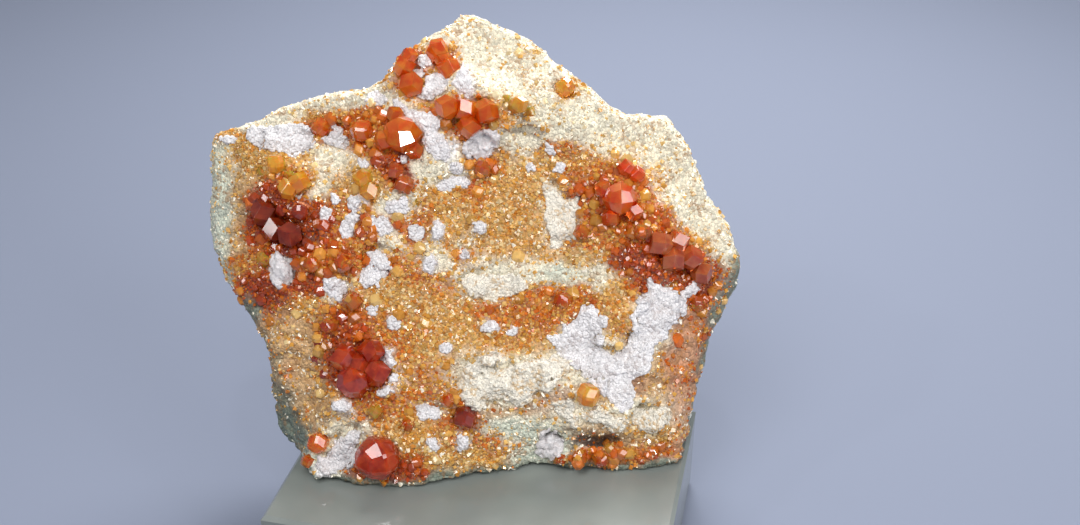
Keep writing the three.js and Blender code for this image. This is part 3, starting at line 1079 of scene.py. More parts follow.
def hull(name: str, corners: np.ndarray) -> bpy.types.Mesh:
    """Wraps points in a closed mesh with flat faces.

    Args:
        name: the mesh's name.
        corners: the points, three numbers to a row.

    Returns:
        The mesh.
    """
    shell = bmesh.new()
    for corner in corners:
        shell.verts.new(corner)
    bmesh.ops.convex_hull(shell, input=shell.verts)
    loose = [vert for vert in shell.verts if not vert.link_faces]
    bmesh.ops.delete(shell, geom=loose, context="VERTS")
    bmesh.ops.dissolve_limit(
        shell, angle_limit=SHAPE_FLAT_ANGLE, verts=shell.verts, edges=shell.edges
    )
    bmesh.ops.recalc_face_normals(shell, faces=shell.faces)
    mesh = bpy.data.meshes.new(name)
    shell.to_mesh(mesh)
    shell.free()
    return mesh


def cut_corners(faces: np.ndarray, reaches: np.ndarray) -> np.ndarray:
    """Finds the corners of the form that flat faces cut out.

    Args:
        faces: the direction of each face, three numbers to a row.
        reaches: how far from the middle each face is.

    Returns:
        The corners, three numbers to a row.
    """
    corners = []
    for trio in combinations(range(len(faces)), 3):
        sides = faces[list(trio)]
        if abs(np.linalg.det(sides)) < LEAST_SLANT:
            continue
        corner = np.linalg.solve(sides, reaches[list(trio)])
        if np.all(faces @ corner <= reaches + 1e-6):
            corners.append(corner)
    return np.unique(np.round(corners, 5), axis=0)


def crystal_mesh(name: str, form: Form, chance: random.Random) -> bpy.types.Mesh:
    """Makes one crystal or grain.

    Args:
        name: the mesh's name.
        form: its shape.
        chance: the random numbers that make it uneven.

    Returns:
        A mesh with a radius of about one.
    """
    if form is Form.GRAIN:
        points = []
        for _ in range(GRAIN_POINTS):
            point = Vector([chance.gauss(0, 1) for _ in range(3)]).normalized()
            points.append(point * chance.uniform(*GRAIN_REACH))
        return hull(name, np.array(points))
    if form is Form.SHARD:
        points = [
            [side * chance.uniform(*SHARD_REACH) for side in sign]
            for sign in product((-1, 1), repeat=3)
        ]
        return hull(name, np.array(points))
    signs = product((-1, 0, 1), repeat=3)
    faces = [sign for sign in signs if sum(map(abs, sign)) == 2]
    reaches = [DIAMOND_REACH] * len(faces)
    for longest in range(3):
        for sign in product((-1, 1), repeat=3):
            faces.append(tuple(s * (2 if axis == longest else 1) for axis, s in enumerate(sign)))
            reaches.append(chance.uniform(*EDGE_REACH))
    directions = np.array(faces, dtype=float)
    directions /= np.linalg.norm(directions, axis=1)[:, None]
    return hull(name, cut_corners(directions, np.array(reaches)))


def shape_box(name: str, form: Form, count: int, seed: int) -> bpy.types.Collection:
    """Makes a few crystals for a druse to grow from.

    Args:
        name: the collection's name.
        form: the crystals' shape.
        count: how many there are.
        seed: the seed of their unevenness.

    Returns:
        A collection that isn't part of the scene.
    """
    chance = random.Random(seed)
    box = bpy.data.collections.new(name)
    for index in range(count):
        mesh = crystal_mesh(f"{name} {index}", form, chance)
        box.objects.link(bpy.data.objects.new(mesh.name, mesh))
    return box


def discard(box: bpy.types.Collection) -> None:
    """Removes a collection and the shapes in it."""
    for shape in list(box.objects):
        mesh = shape.data
        bpy.data.objects.remove(shape)
        bpy.data.meshes.remove(mesh)
    bpy.data.collections.remove(box)


# The ground of the face, kind by kind, among them patches of painted shade. Each patch is across, down,
# half width, half height.

PATCH_FALL = 0.7


@dataclass(frozen=True)
class Ground:
    """One kind of ground on the rock, what grows on it, and where it shows."""

    name: str
    colour: Rgb
    crystals: float
    warmth: float
    grains: float
    ledges: float
    coarse: float
    patches: Patches
    crispness: float = 1.0

    def weight(self, across: np.ndarray, down: np.ndarray) -> np.ndarray:
        """Gives how strongly this ground shows at places on the face.

        Args:
            across: steps across.
            down: steps down.

        Returns:
            An array of weights.
        """
        total = np.zeros_like(across)
        for x, y, half_width, half_height in self.patches:
            off = ((across - x) / half_width) ** 2 + ((down - y) / half_height) ** 2
            total += np.exp(-PATCH_FALL * off ** self.crispness)
        return total


GROUNDS = (
    Ground("cream rock", (226, 217, 192), 0.1, 0.14, 0.85, 0.15, 0.0, (
        (466, 26, 24, 14), (500, 44, 26, 16), (532, 62, 26, 18), (562, 86, 26, 16),
        (592, 106, 24, 16), (622, 122, 24, 14), (655, 130, 26, 16), (674, 152, 20, 20),
        (692, 188, 15, 24), (706, 218, 12, 18), (724, 242, 10, 16), (545, 108, 22, 12),
        (572, 122, 20, 12), (604, 142, 22, 12), (642, 152, 20, 14), (662, 178, 16, 18),
        (530, 88, 20, 12), (500, 76, 24, 14), (478, 60, 18, 18), (524, 142, 14, 16),
        (250, 122, 26, 5), (290, 107, 26, 6), (330, 98, 28, 7), (368, 92, 20, 8),
        (398, 68, 8, 9), (428, 40, 10, 7), (332, 164, 20, 14), (316, 186, 13, 9),
        (388, 240, 14, 11), (438, 166, 16, 13), (424, 166, 12, 10),
        (462, 172, 14, 7), (404, 108, 10, 8), (436, 132, 16, 12), (470, 242, 12, 12),
        (500, 264, 38, 9), (486, 286, 34, 15), (590, 276, 20, 8), (505, 386, 62, 26),
        (562, 366, 22, 16), (470, 356, 14, 10), (655, 414, 26, 15), (610, 414, 26, 10),
        (566, 416, 18, 13), (600, 350, 30, 16), (655, 320, 20, 26), (430, 260, 10, 12),
        (342, 292, 14, 10), (560, 214, 22, 26), (438, 78, 16, 12), (400, 205, 16, 9),
        (345, 445, 16, 18), (400, 384, 10, 14), (428, 408, 14, 8),
    )),
    Ground("gold crust", (198, 146, 80), 0.95, 0.24, 0.4, 0.0, 0.03, (
        (455, 202, 22, 18), (462, 224, 22, 18), (500, 202, 28, 22), (518, 226, 28, 20),
        (528, 192, 20, 20), (492, 248, 26, 10), (552, 166, 28, 10), (592, 164, 22, 10),
        (600, 234, 24, 10), (560, 256, 28, 7), (620, 312, 14, 28), (250, 160, 26, 10),
        (292, 162, 16, 9), (366, 184, 16, 15), (382, 296, 24, 10), (410, 304, 24, 14),
        (440, 320, 28, 18), (462, 340, 24, 14), (428, 350, 28, 14), (460, 304, 20, 10),
        (226, 137, 12, 6), (322, 114, 14, 6), (516, 108, 19, 11), (570, 94, 16, 8),
        (528, 52, 12, 5), (430, 440, 24, 18), (404, 432, 16, 14), (480, 458, 22, 8),
        (664, 172, 10, 8), (636, 148, 14, 7), (584, 80, 10, 7), (606, 136, 12, 5),
        (700, 244, 12, 8), (345, 182, 12, 12), (492, 340, 26, 12), (540, 345, 16, 10),
        (664, 430, 24, 8), (585, 395, 14, 10), (598, 398, 10, 8), (300, 305, 14, 10),
    )),
    Ground("golden-brown crust", (178, 106, 48), 1.0, 0.42, 0.2, 0.0, 0.1, (
        (540, 302, 34, 13), (502, 316, 28, 13), (574, 300, 16, 12), (520, 336, 24, 8),
        (400, 332, 28, 22), (412, 380, 28, 18), (402, 402, 32, 12), (432, 396, 22, 12),
        (332, 330, 14, 16), (420, 272, 12, 13), (446, 290, 13, 11), (450, 430, 18, 13),
        (498, 446, 18, 8), (264, 250, 12, 9), (246, 264, 15, 9), (560, 150, 20, 8),
        (388, 262, 16, 9), (420, 216, 10, 8), (340, 200, 12, 9), (366, 250, 10, 9),
        (475, 205, 14, 10), (600, 170, 16, 8), (564, 236, 10, 6), (620, 330, 10, 14),
    )),
    Ground("orange crust", (184, 98, 40), 1.0, 0.5, 0.12, 0.0, 0.55, (
        (590, 190, 14, 24), (606, 216, 16, 14), (632, 178, 18, 12), (575, 178, 10, 12),
        (372, 226, 9, 9), (410, 234, 9, 9), (352, 216, 10, 12), (300, 268, 10, 8),
        (470, 186, 13, 13), (482, 172, 12, 12), (468, 257, 13, 10), (610, 178, 26, 15),
        (600, 202, 20, 20), (640, 200, 18, 22), (620, 222, 24, 13), (590, 236, 20, 9),
        (656, 226, 18, 10), (566, 300, 10, 8), (480, 310, 10, 7),
        (350, 302, 14, 13), (312, 266, 15, 11), (354, 322, 10, 10),
        (348, 262, 13, 9), (330, 254, 14, 13), (347, 334, 14, 12), (446, 432, 10, 8),
        (462, 404, 15, 13), (264, 250, 12, 7), (404, 222, 12, 10), (600, 459, 30, 6),
        (640, 448, 22, 5), (680, 372, 9, 13), (678, 302, 14, 14), (702, 330, 8, 14),
        (300, 182, 15, 11), (364, 134, 15, 14), (322, 126, 14, 10), (400, 136, 20, 14),
        (466, 112, 26, 12), (408, 70, 14, 20), (444, 58, 14, 14), (455, 128, 14, 10),
    )),
    Ground("red crust", (140, 58, 32), 1.0, 0.72, 0.06, 0.0, 0.6, (
        (338, 322, 15, 15), (352, 338, 14, 12), (258, 208, 10, 16), (300, 246, 14, 10),
        (270, 224, 20, 20), (290, 236, 22, 15), (300, 212, 13, 11), (285, 256, 17, 9),
        (264, 290, 15, 13), (276, 298, 18, 10), (310, 284, 16, 7), (396, 166, 9, 9),
        (402, 180, 9, 11), (346, 346, 17, 17), (336, 362, 13, 18), (360, 376, 24, 20),
        (340, 262, 9, 7), (660, 250, 24, 14), (690, 264, 20, 14), (650, 270, 15, 9),
        (641, 288, 13, 9), (700, 286, 14, 12), (622, 202, 14, 14), (465, 416, 13, 11),
        (386, 476, 20, 9), (358, 466, 9, 8), (407, 470, 15, 9), (626, 262, 14, 7),
        (700, 302, 12, 10), (374, 238, 8, 8), (392, 165, 10, 8),
    )),
    Ground("pit shadow", (92, 66, 54), 0.1, 0.6, 0.15, 0.4, 0.0, (
        (600, 441, 27, 5), (526, 131, 16, 3), (640, 386, 8, 6), (560, 391, 9, 4),
        (312, 238, 7, 8), (421, 76, 5, 4), (276, 300, 10, 4), (500, 410, 26, 2.5),
        (632, 262, 20, 3), (588, 430, 20, 3),
    ), 1.5),
    Ground("tan rock", (200, 160, 112), 0.26, 0.28, 0.4, 1.0, 0.0, (
        (300, 340, 26, 28), (300, 380, 22, 20), (308, 402, 18, 12), (274, 340, 12, 18),
        (652, 392, 16, 10), (636, 440, 22, 8), (505, 412, 26, 6), (240, 190, 14, 20),
        (236, 240, 12, 20), (330, 405, 14, 10), (592, 428, 20, 6), (658, 366, 8, 16),
    )),
    # Pinkish-brown rock; its patches in the pits and under the ledges are painted shade
    Ground("brown rock", (192, 142, 108), 0.14, 0.46, 0.16, 1.0, 0.02, (
        (684, 346, 15, 24), (692, 320, 12, 18), (672, 372, 12, 12), (686, 420, 14, 18),
        (544, 406, 20, 9), (638, 386, 14, 10), (690, 444, 9, 9), (560, 394, 12, 8),
        (682, 394, 12, 12), (280, 318, 12, 8), (288, 374, 8, 14),
    )),
    Ground("green rock", (208, 213, 194), 0.02, 0.2, 0.6, 0.4, 0.0, (
        (562, 274, 20, 11), (517, 438, 24, 14), (552, 441, 15, 11), (222, 200, 10, 40),
        (220, 168, 10, 16), (222, 246, 9, 20), (546, 458, 20, 6), (300, 462, 10, 10),
    )),
    # Grey-green rock of the side strips, darkened as painted shade where they turn away from the light
    Ground("grey-green side", (120, 130, 116), 0.0, 0.3, 0.16, 1.0, 0.0, (
        (290, 430, 13, 38), (282, 400, 8, 30), (350, 486, 40, 7), (420, 490, 40, 8),
        (486, 474, 22, 7), (560, 468, 36, 5), (640, 468, 46, 5), (716, 330, 8, 36),
        (706, 380, 7, 46), (696, 440, 7, 26), (250, 312, 9, 16), (736, 270, 5, 18),
        (270, 360, 6, 20),
    )),
    Ground("white lumps", (240, 237, 236), 0.0, 0.1, 0.5, 0.1, 0.0, (
        (438, 231, 7, 10), (430, 264, 7, 11), (341, 406, 9, 8), (389, 358, 7, 10),
        (462, 441, 8, 10), (480, 228, 8, 10), (490, 328, 10, 7), (490, 360, 10, 7),
        (385, 391, 10, 7), (322, 471, 9, 7), (395, 322, 8, 8), (434, 444, 6, 8),
        (450, 152, 9, 12), (514, 332, 6, 5), (445, 348, 8, 6), (468, 84, 8, 16),
        (360, 205, 6, 8), (604, 352, 8, 8),
    ), 2.0),
)


@dataclass(frozen=True)
class Mass:
    """Where a mass of feldspar shows: an outline, or lumps given as patches."""

    outline: tuple[tuple[float, float], ...] = ()
    lumps: Patches = ()

    def covers(self, across: np.ndarray, down: np.ndarray) -> np.ndarray:
        """Tells which places on the face the mass covers.

        Args:
            across: steps across.
            down: steps down.

        Returns:
            An array of true and false.
        """
        inside = np.zeros(across.shape, dtype=bool)
        for (x0, y0), (x1, y1) in zip(self.outline, self.outline[1:] + self.outline[:1]):
            if y0 != y1:
                crossing = x0 + (down - y0) * (x1 - x0) / (y1 - y0)
                inside ^= ((y0 > down) != (y1 > down)) & (across < crossing)
        for x, y, half_width, half_height in self.lumps:
            off = ((across - x) / half_width) ** 2 + ((down - y) / half_height) ** 2
            inside |= off < 1
        return inside

    def reach(self) -> tuple[float, float, float, float]:
        """Gives the mass's lowest and highest steps across, then down."""
        across = [x for x, _ in self.outline]
        across += [x + side * width for x, _, width, _ in self.lumps for side in (-1, 1)]
        down = [y for _, y in self.outline]
        down += [y + side * height for _, y, _, height in self.lumps for side in (-1, 1)]
        return min(across), max(across), min(down), max(down)


MASSES = {
    "feldspar_upper_left": Mass((
        (245, 128), (259, 125), (277, 126), (300, 123), (307, 125), (314, 135), (316, 143),
        (307, 152), (296, 158), (284, 153), (271, 152), (259, 148), (248, 141),
    )),
    "feldspar_upper_edge": Mass((
        (332, 125), (343, 128), (341, 135), (350, 141), (346, 150), (337, 146), (325, 142),
        (321, 137), (330, 134),
    )),
    "feldspar_over_edge": Mass(lumps=((376, 99, 10, 8),)),
    "feldspar_peak": Mass(lumps=((437, 83, 12, 10), (425, 94, 8, 7))),
    "feldspar_peak_right": Mass((
        (464, 63), (468, 71), (473, 86), (469, 99), (459, 92), (453, 84), (457, 76),
    )),
    "feldspar_vein": Mass((
        (392, 100), (398, 99), (402, 106), (412, 110), (424, 112), (436, 116), (441, 124),
        (438, 132), (446, 138), (450, 150), (447, 160), (436, 158), (428, 150), (420, 142),
        (424, 132), (415, 124), (404, 118), (394, 110),
    )),
    "feldspar_middle_top": Mass((
        (386, 205), (394, 201), (404, 198), (411, 203), (409, 210), (400, 214), (390, 212),
    )),
    "feldspar_middle_drop": Mass(lumps=((416, 233, 8, 10),)),
    "feldspar_middle_left": Mass(lumps=((380, 223, 10, 8), (384, 229, 7, 6))),
    "feldspar_chain": Mass(lumps=((354, 203, 7, 7), (353, 216, 7, 6), (347, 229, 7, 9))),
    "feldspar_pale_middle": Mass((
        (365, 254), (378, 250), (389, 257), (393, 268), (388, 275), (377, 284), (366, 287),
        (359, 282), (362, 270), (368, 266),
    )),
    "feldspar_left_of_middle": Mass((
        (323, 279), (337, 277), (346, 286), (344, 296), (339, 301), (330, 296), (325, 288),
    )),
    "feldspar_grey_top": Mass(lumps=((446, 186, 9, 6), (461, 181, 10, 6))),
    "feldspar_cream_patch": Mass((
        (460, 279), (471, 274), (496, 275), (513, 272), (522, 277), (531, 289), (519, 295),
        (501, 297), (499, 304), (487, 300), (476, 297), (467, 288),
    )),
    "feldspar_star": Mass((
        (540, 185), (547, 183), (554, 184), (564, 198), (581, 198), (580, 214), (573, 223),
        (579, 238), (562, 241), (560, 250), (551, 247), (552, 238), (543, 219), (546, 204),
    )),
    "feldspar_great_y": Mass((
        (646, 277), (662, 286), (683, 293), (697, 281), (702, 289), (689, 299), (685, 313),
        (671, 327), (662, 340), (653, 345), (654, 356), (647, 374), (634, 379), (632, 393),
        (634, 402), (621, 412), (608, 402), (603, 393), (589, 381), (576, 370), (560, 354),
        (547, 341), (548, 336), (563, 336), (564, 324), (576, 320), (583, 306), (594, 306),
        (601, 324), (603, 337), (601, 347), (615, 357), (624, 350), (631, 331), (633, 315),
        (639, 306), (637, 299), (649, 290),
    )),
    "feldspar_low_mass": Mass((
        (460, 384), (464, 366), (472, 365), (480, 356), (495, 355), (499, 360), (488, 367),
        (494, 371), (510, 366), (528, 361), (546, 357), (560, 354), (571, 363), (564, 374),
        (556, 384), (547, 393), (537, 387), (531, 404), (519, 406), (505, 399), (494, 397),
        (483, 409), (471, 413), (469, 406), (460, 398),
    )),
    "feldspar_low_right": Mass((
        (638, 406), (646, 408), (665, 407), (670, 418), (662, 429), (649, 433), (638, 427),
        (630, 422), (631, 413),
    )),
    "feldspar_low_ridge": Mass(lumps=((598, 417, 14, 7), (615, 424, 13, 8))),
    "feldspar_low_middle": Mass((
        (553, 402), (567, 398), (576, 402), (574, 411), (579, 420), (574, 429), (565, 420),
        (556, 413),
    )),
    "feldspar_white_streak": Mass((
        (357, 427), (363, 434), (356, 448), (355, 462), (341, 471), (330, 475), (316, 470),
        (318, 457), (329, 455), (337, 445), (336, 439), (346, 436),
    )),
    "feldspar_small_wide": Mass((
        (416, 407), (425, 405), (437, 407), (440, 414), (436, 421), (427, 417), (420, 420),
        (415, 414),
    )),
    "quartz_under_ridge": Mass((
        (464, 144), (471, 135), (481, 130), (496, 131), (501, 137), (498, 146), (492, 155),
        (481, 158), (471, 159), (465, 153),
    )),
    "quartz_left": Mass((
        (271, 254), (279, 251), (287, 261), (295, 270), (293, 280), (286, 287), (279, 288),
        (271, 282), (269, 270), (271, 261),
    )),
    "quartz_low": Mass((
        (540, 436), (546, 429), (556, 432), (564, 441), (562, 450), (553, 459), (540, 459),
        (535, 449),
    )),
}

# Small masses of feldspar that are part of the rock's own crust
SMALL_MASSES = Mass(lumps=(
    (438, 231, 6, 9), (430, 264, 6, 10), (341, 406, 8, 7), (389, 358, 6, 9), (462, 441, 6, 9),
    (480, 228, 6, 8), (490, 328, 10, 5), (445, 348, 8, 5), (395, 323, 7, 8), (385, 391, 9, 4),
    (434, 444, 5, 8), (423, 62, 10, 6), (418, 74, 6, 4), (228, 140, 8, 4), (514, 332, 6, 4),
    (392, 379, 5, 5), (560, 168, 6, 5), (532, 168, 5, 4), (408, 134, 5, 5), (470, 150, 5, 4),
    (404, 158, 5, 4), (298, 196, 4, 3), (364, 164, 6, 5), (336, 200, 5, 5), (372, 310, 6, 5),
    (456, 168, 7, 6), (466, 256, 5, 5), (548, 150, 6, 5), (600, 322, 8, 7), (326, 214, 5, 7),
))

# The colour of the rock under the crystals of each slot, and where it stands on the block. Under the
# garnets it is painted bright, a painted glow that shows through the clear crystals; under the quartz it is
# pale grey, and on the block grey-green.
SEAT_COLOURS_AND_GLOW = {
    "garnet_red": (240, 150, 96),
    "garnet_bright": (255, 176, 104),
    "garnet_orange": (255, 196, 116),
    "garnet_amber": (255, 226, 150),
    "garnet_brown": (228, 150, 106),
    "quartz_grey": (226, 222, 220),
    "block": (150, 152, 138),
}

# Single garnets in the rock's crust: across, down, radius
SMALL_GARNETS = {
    "garnet_orange": (
        (343, 264, 9), (353, 301, 9), (308, 461, 7), (408, 424, 7), (448, 400, 7), (582, 232, 8),
        (698, 305, 8), (560, 458, 7), (580, 457, 8), (601, 459, 8), (483, 168, 8), (563, 301, 9),
        (312, 265, 8), (330, 325, 8), (640, 232, 8), (622, 458, 7), (641, 459, 6), (398, 250, 6),
    ),
    "garnet_amber": (
        (264, 260, 7), (375, 411, 7), (518, 105, 9), (455, 154, 7), (417, 201, 6), (588, 395, 6),
        (594, 399, 5), (506, 100, 6), (530, 112, 6), (572, 96, 6), (290, 176, 7), (263, 172, 7),
    ),
    "garnet_red": (
        (258, 206, 7), (268, 214, 6), (282, 210, 7), (292, 221, 7), (262, 236, 7), (276, 247, 7),
        (290, 248, 7), (300, 232, 7), (252, 222, 6), (302, 214, 6), (284, 262, 6), (268, 257, 6),
        (330, 310, 7), (342, 318, 8), (353, 329, 7), (328, 326, 7), (362, 342, 7), (366, 360, 7),
        (321, 342, 7), (372, 373, 6), (318, 358, 7), (350, 312, 6), (326, 374, 6), (466, 416, 7),
    ),
    "garnet_brown": (
        (634, 238, 7), (646, 232, 7), (662, 236, 7), (676, 246, 7), (690, 252, 7), (700, 262, 7),
        (648, 262, 7), (664, 269, 7), (682, 273, 7), (640, 250, 6), (696, 282, 7), (654, 282, 6),
        (628, 216, 6), (616, 172, 6), (594, 182, 6), (588, 196, 6), (598, 212, 7), (612, 222, 6),
    ),
}


# The sizes of the noise that makes edges uneven, and how many steps it moves them by
WIDE_DRIFT = 2.6 * MM
FINE_DRIFT = 0.7 * MM
DRIFT_SEED = 5
GROUND_DRIFT = (7.0, 3.0)
MASS_DRIFT = (2.6, 2.4)


def drift_at(points: np.ndarray) -> np.ndarray:
    """Gives the noise that makes the edges between kinds of ground uneven.

    Args:
        points: positions, three numbers to a row.

    Returns:
        Four numbers to a row: a wide drift across and down, then a fine one.
    """
    noise.seed_set(DRIFT_SEED)
    return np.array([
        (*noise.noise_vector(Vector(point) / WIDE_DRIFT)[:2],
         *noise.noise_vector(Vector(point) / FINE_DRIFT)[:2])
        for point in points
    ])


def wobbled(
    places: np.ndarray,
    drift: np.ndarray,
    amounts: tuple[float, float],
) -> tuple[np.ndarray, np.ndarray]:
    """Moves places a little, so that what is drawn there has an uneven edge.

    Args:
        places: steps across and down, in rows.
        drift: the drift at the same places.
        amounts: how far the wide and the fine drift move a place.

    Returns:
        The steps across and the steps down.
    """
    wide, fine = amounts
    across = places[:, 0] + wide * drift[:, 0] + fine * drift[:, 2]
    down = places[:, 1] + wide * drift[:, 1] + fine * drift[:, 3]
    return across, down


@dataclass(frozen=True)
class Roughness:
    """The sizes of the lumps, grains and ledges of one kind of stone."""

    lump_size: float
    lump_height: float
    wander: float
    grain_size: float
    grain_height: float
    ledge_size: float = MM
    ledge_height: float = 0.0

    def carve(self, piece: bpy.types.Object, tree: bpy.types.NodeTree) -> None:
        """Roughens a piece.

        Args:
            piece: the piece, with its "ledge" attribute.
            tree: the rough surface tree.
        """
        run_tree(piece, tree, {
            "Lump Size": self.lump_size,
            "Lump Height": self.lump_height,
            "Wander": self.wander,
            "Grain Size": self.grain_size,
            "Grain Height": self.grain_height,
            "Ledge Size": self.ledge_size,
            "Ledge Height": self.ledge_height,
        })


@dataclass
class CrustedRock:
    """The slab of rock, marked with the kinds of ground and then roughened.

    It closes round the feet of the crystals within the pocket overlap, and within the pocket
    reach, or the seat depth inside them, it takes their seat colour, which under the garnets is a
    bright painted glow. Its sides turn from the high colour, lightened as a painted rim light, to
    the low one, darkened as painted shade, over the side fade, and the face turns into the sides
    over the face edge.
    """

    voxel: float = 0.44 * MM
    quick_factor: float = 2.0
    smoothing: int = 3
    roughness: Roughness = Roughness(
        lump_size=3.6 * MM, lump_height=0.9 * MM, wander=0.5 * MM, grain_size=1.1 * MM,
        grain_height=0.16 * MM, ledge_size=2.4 * MM, ledge_height=0.7 * MM,
    )
    pocket_reach: float = 0.22 * MM
    pocket_overlap: float = 0.42 * MM
    seat_depth: float = 3.2 * MM
    least_cream: float = 0.02
    contrast: float = 1.7
    face_edge: tuple[float, float] = (-0.05, 0.4)
    side_fade: tuple[float, float] = (270, 350)
    # The sides are pale rock at the top, lightened as a painted rim light, and grey-green rock towards the
    # bottom, darkened as painted shade
    rim_lit_high_side: Rgb = (224, 218, 202)
    shaded_low_side: Rgb = (134, 142, 126)
    side_ledges: float = 0.8

    def fill_pockets(self, rock: bpy.types.Object) -> None:
        """Lets the rock close round the feet of the crystals that grow out of it.

        Args:
            rock: the rock's first copy.
        """
        gathered = bmesh.new()
        gathered.from_mesh(rock.data)
        for node in frame["nodes"]:
            if node in ("matrix_rock", "display_block"):
                continue
            plug = whole_copy(node, "plug")
            swell(plug, self.pocket_overlap)
            heights = corners_of(plug.data) @ np.array(OUT)
            plug.data.transform(Matrix.Translation(-0.5 * OUT * (heights.max() - heights.min())))
            gathered.from_mesh(plug.data)
            mesh = plug.data
            bpy.data.objects.remove(plug)
            bpy.data.meshes.remove(mesh)
        gathered.to_mesh(rock.data)
        gathered.free()

    def under(self, points: np.ndarray, slot: str) -> np.ndarray:
        """Tells which points lie under or close beside the crystals of one finish.

        Args:
            points: positions, three numbers to a row.
            slot: the crystals' material slot.

        Returns:
            An array of true and false.
        """
        parts = frame["record"]["subparts"]
        nodes = [part["node"] for part in parts if part["material_slot"] == slot]
        tree = search_tree(*(frame["nodes"][node].data for node in nodes))
        found = []
        for point in points:
            place, normal, _, distance = tree.find_nearest(Vector(point))
            inside = (Vector(point) - place).dot(normal) < 0
            found.append(distance < self.pocket_reach or (inside and distance < self.seat_depth))
        return np.array(found)

    def paint(self, mesh: bpy.types.Mesh) -> None:
        """Marks what each place of the rock is like.

        Args:
            mesh: the rock's mesh, before it is roughened.
        """
        points = corners_of(mesh)
        normals = normals_of(mesh)
        places = on_face(points)
        drift = drift_at(points)
        across, down = wobbled(places, drift, GROUND_DRIFT)
        weights = np.stack([ground.weight(across, down) for ground in GROUNDS])
        weights[0] += self.least_cream
        weights = weights ** self.contrast
        shares = weights / weights.sum(axis=0)
        for ground, share in zip(GROUNDS, shares.mean(axis=1)):
            LOG.info("%s: %.0f%% of the rock", ground.name, 100 * share)

        def average(label: str) -> np.ndarray:
            """Gives each place's share of what the kinds of ground say under a label."""
            return np.array([getattr(ground, label) for ground in GROUNDS]) @ shares

        facing = smooth_step(*self.face_edge, normals @ np.array(OUT))
        colours = np.array([linear(ground.colour)[:3] for ground in GROUNDS])
        face_colour = shares.T @ colours
        # The sides turn from the painted rim light at the top to painted shade at the bottom
        low = smooth_step(*self.side_fade, places[:, 1])[:, None]
        side_colour = (1 - low) * np.array(linear(self.rim_lit_high_side)[:3])
        side_colour = side_colour + low * np.array(linear(self.shaded_low_side)[:3])
        mixed = face_colour * facing[:, None] + side_colour * (1 - facing[:, None])
        taken = np.zeros(len(points), dtype=bool)
        # Under the garnets the rock takes a bright painted glow, which shows through them
        for slot, colour in SEAT_COLOURS_AND_GLOW.items():
            under = self.under(points, slot)
            mixed[under] = linear(colour)[:3]
            taken |= under
        for mass in (*MASSES.values(), SMALL_MASSES):
            taken |= mass.covers(*wobbled(places, drift, MASS_DRIFT))
        store(mesh, "ground", mixed)
        room = facing * ~taken
        for label in ("crystals", "grains", "coarse"):
            store(mesh, label, room * average(label))
        store(mesh, "warmth", average("warmth"))
        store(mesh, "ledge", average("ledges") * facing + self.side_ledges * (1 - facing))

    def build(self, rough: bpy.types.NodeTree, material: bpy.types.Material) -> bpy.types.Object:
        """Builds the rock itself.

        Args:
            rough: the rough surface tree.
            material: the rock's material.

        Returns:
            The rock.
        """
        rock = whole_copy("matrix_rock", "rock")
        self.fill_pockets(rock)
        remesh(rock, self.voxel, self.smoothing)
        self.paint(rock.data)
        self.roughness.carve(rock, rough)
        finish_piece(rock, material, ("matrix_rock",))
        return rock


@dataclass
class Crust:
    """Crystals or grains of one size that grow over the rock."""

    name: str
    slot: str
    form: Form
    forms: int
    where: str
    spacing: float
    smallest: float
    largest: float
    sink: float
    tint_range: float
    seed: int

    def build(
        self,
        rock: bpy.types.Object,
        tree: bpy.types.NodeTree,
        material: bpy.types.Material,
    ) -> bpy.types.Object:
        """Grows the crust.

        Args:
            rock: the rock that it grows on.
            tree: the druse tree.
            material: the crystals' material.

        Returns:
            The crust.
        """
        box = shape_box(f"{self.name} shape", self.form, self.forms, self.seed)
        crust = new_piece(self.name, rock.data.copy())
        run_tree(crust, tree, {
            "Crystals": box,
            "Where": self.where,
            "Spacing": self.spacing,
            "Smallest": self.smallest,
            "Largest": self.largest,
            "Sink": self.sink,
            "Tint Range": self.tint_range,
            "Seed": self.seed,
            "Finish": material,
        })
        discard(box)
        finish_piece(crust, material, smooth=False)
        return crust


@dataclass
class Garnets:
    """The larger garnets."""

    grow: float = 0.1 * MM
    edge: float = 0.3 * MM
    edge_angle: float = math.radians(24)
    small_scale: float = 1.08
    small_sink: float = 0.75
    small_axis: tuple[float, float, float] = (1, 0.3, 0.2)
    seed: int = 71

    def dress(self, node: str, material: bpy.types.Material) -> bpy.types.Object:
        """Gives a group of garnets its narrow edge faces and its finish.

        Args:
            node: the node's name.
            material: the garnets' material.

        Returns:
            The garnets.
        """
        piece = whole_copy(node, f"{node}_crystals")
        swell(piece, self.grow)
        bevel = piece.modifiers.new("edge faces", "BEVEL")
        bevel.width = self.edge
        bevel.segments = 1
        bevel.limit_method = "ANGLE"
        bevel.angle_limit = self.edge_angle
        settle(piece)
        finish_piece(piece, material, (node,), smooth=False)
        return piece

    def small(self, rock: BVHTree, slot: str, material: bpy.types.Material) -> bpy.types.Object:
        """Makes the single garnets that are part of the rock's crust.

        Args:
            rock: the search tree of the rock.
            slot: the record's material slot.
            material: the garnets' material.

        Returns:
            The garnets, as one piece.
        """
        chance = random.Random(self.seed)
        gathered = bmesh.new()
        for across, down, radius in SMALL_GARNETS[slot]:
            direction = sight(across, down)
            spot = rock.ray_cast(EYE, direction)[0]
            size = self.small_scale * radius * STEP
            mesh = crystal_mesh("small garnet", Form.EDGED, chance)
            turn = Matrix.Rotation(chance.uniform(0, math.tau), 4, self.small_axis)
            turn @= Matrix.Rotation(chance.uniform(0, math.tau), 4, "Z")
            middle = spot + direction * self.small_sink * size
            mesh.transform(Matrix.Translation(middle) @ turn @ Matrix.Scale(size, 4))
            gathered.from_mesh(mesh)
            bpy.data.meshes.remove(mesh)
        joined = bpy.data.meshes.new(f"small_{slot}")
        gathered.to_mesh(joined)
        gathered.free()
        piece = new_piece(joined.name, joined)
        finish_piece(piece, material, smooth=False)
        return piece


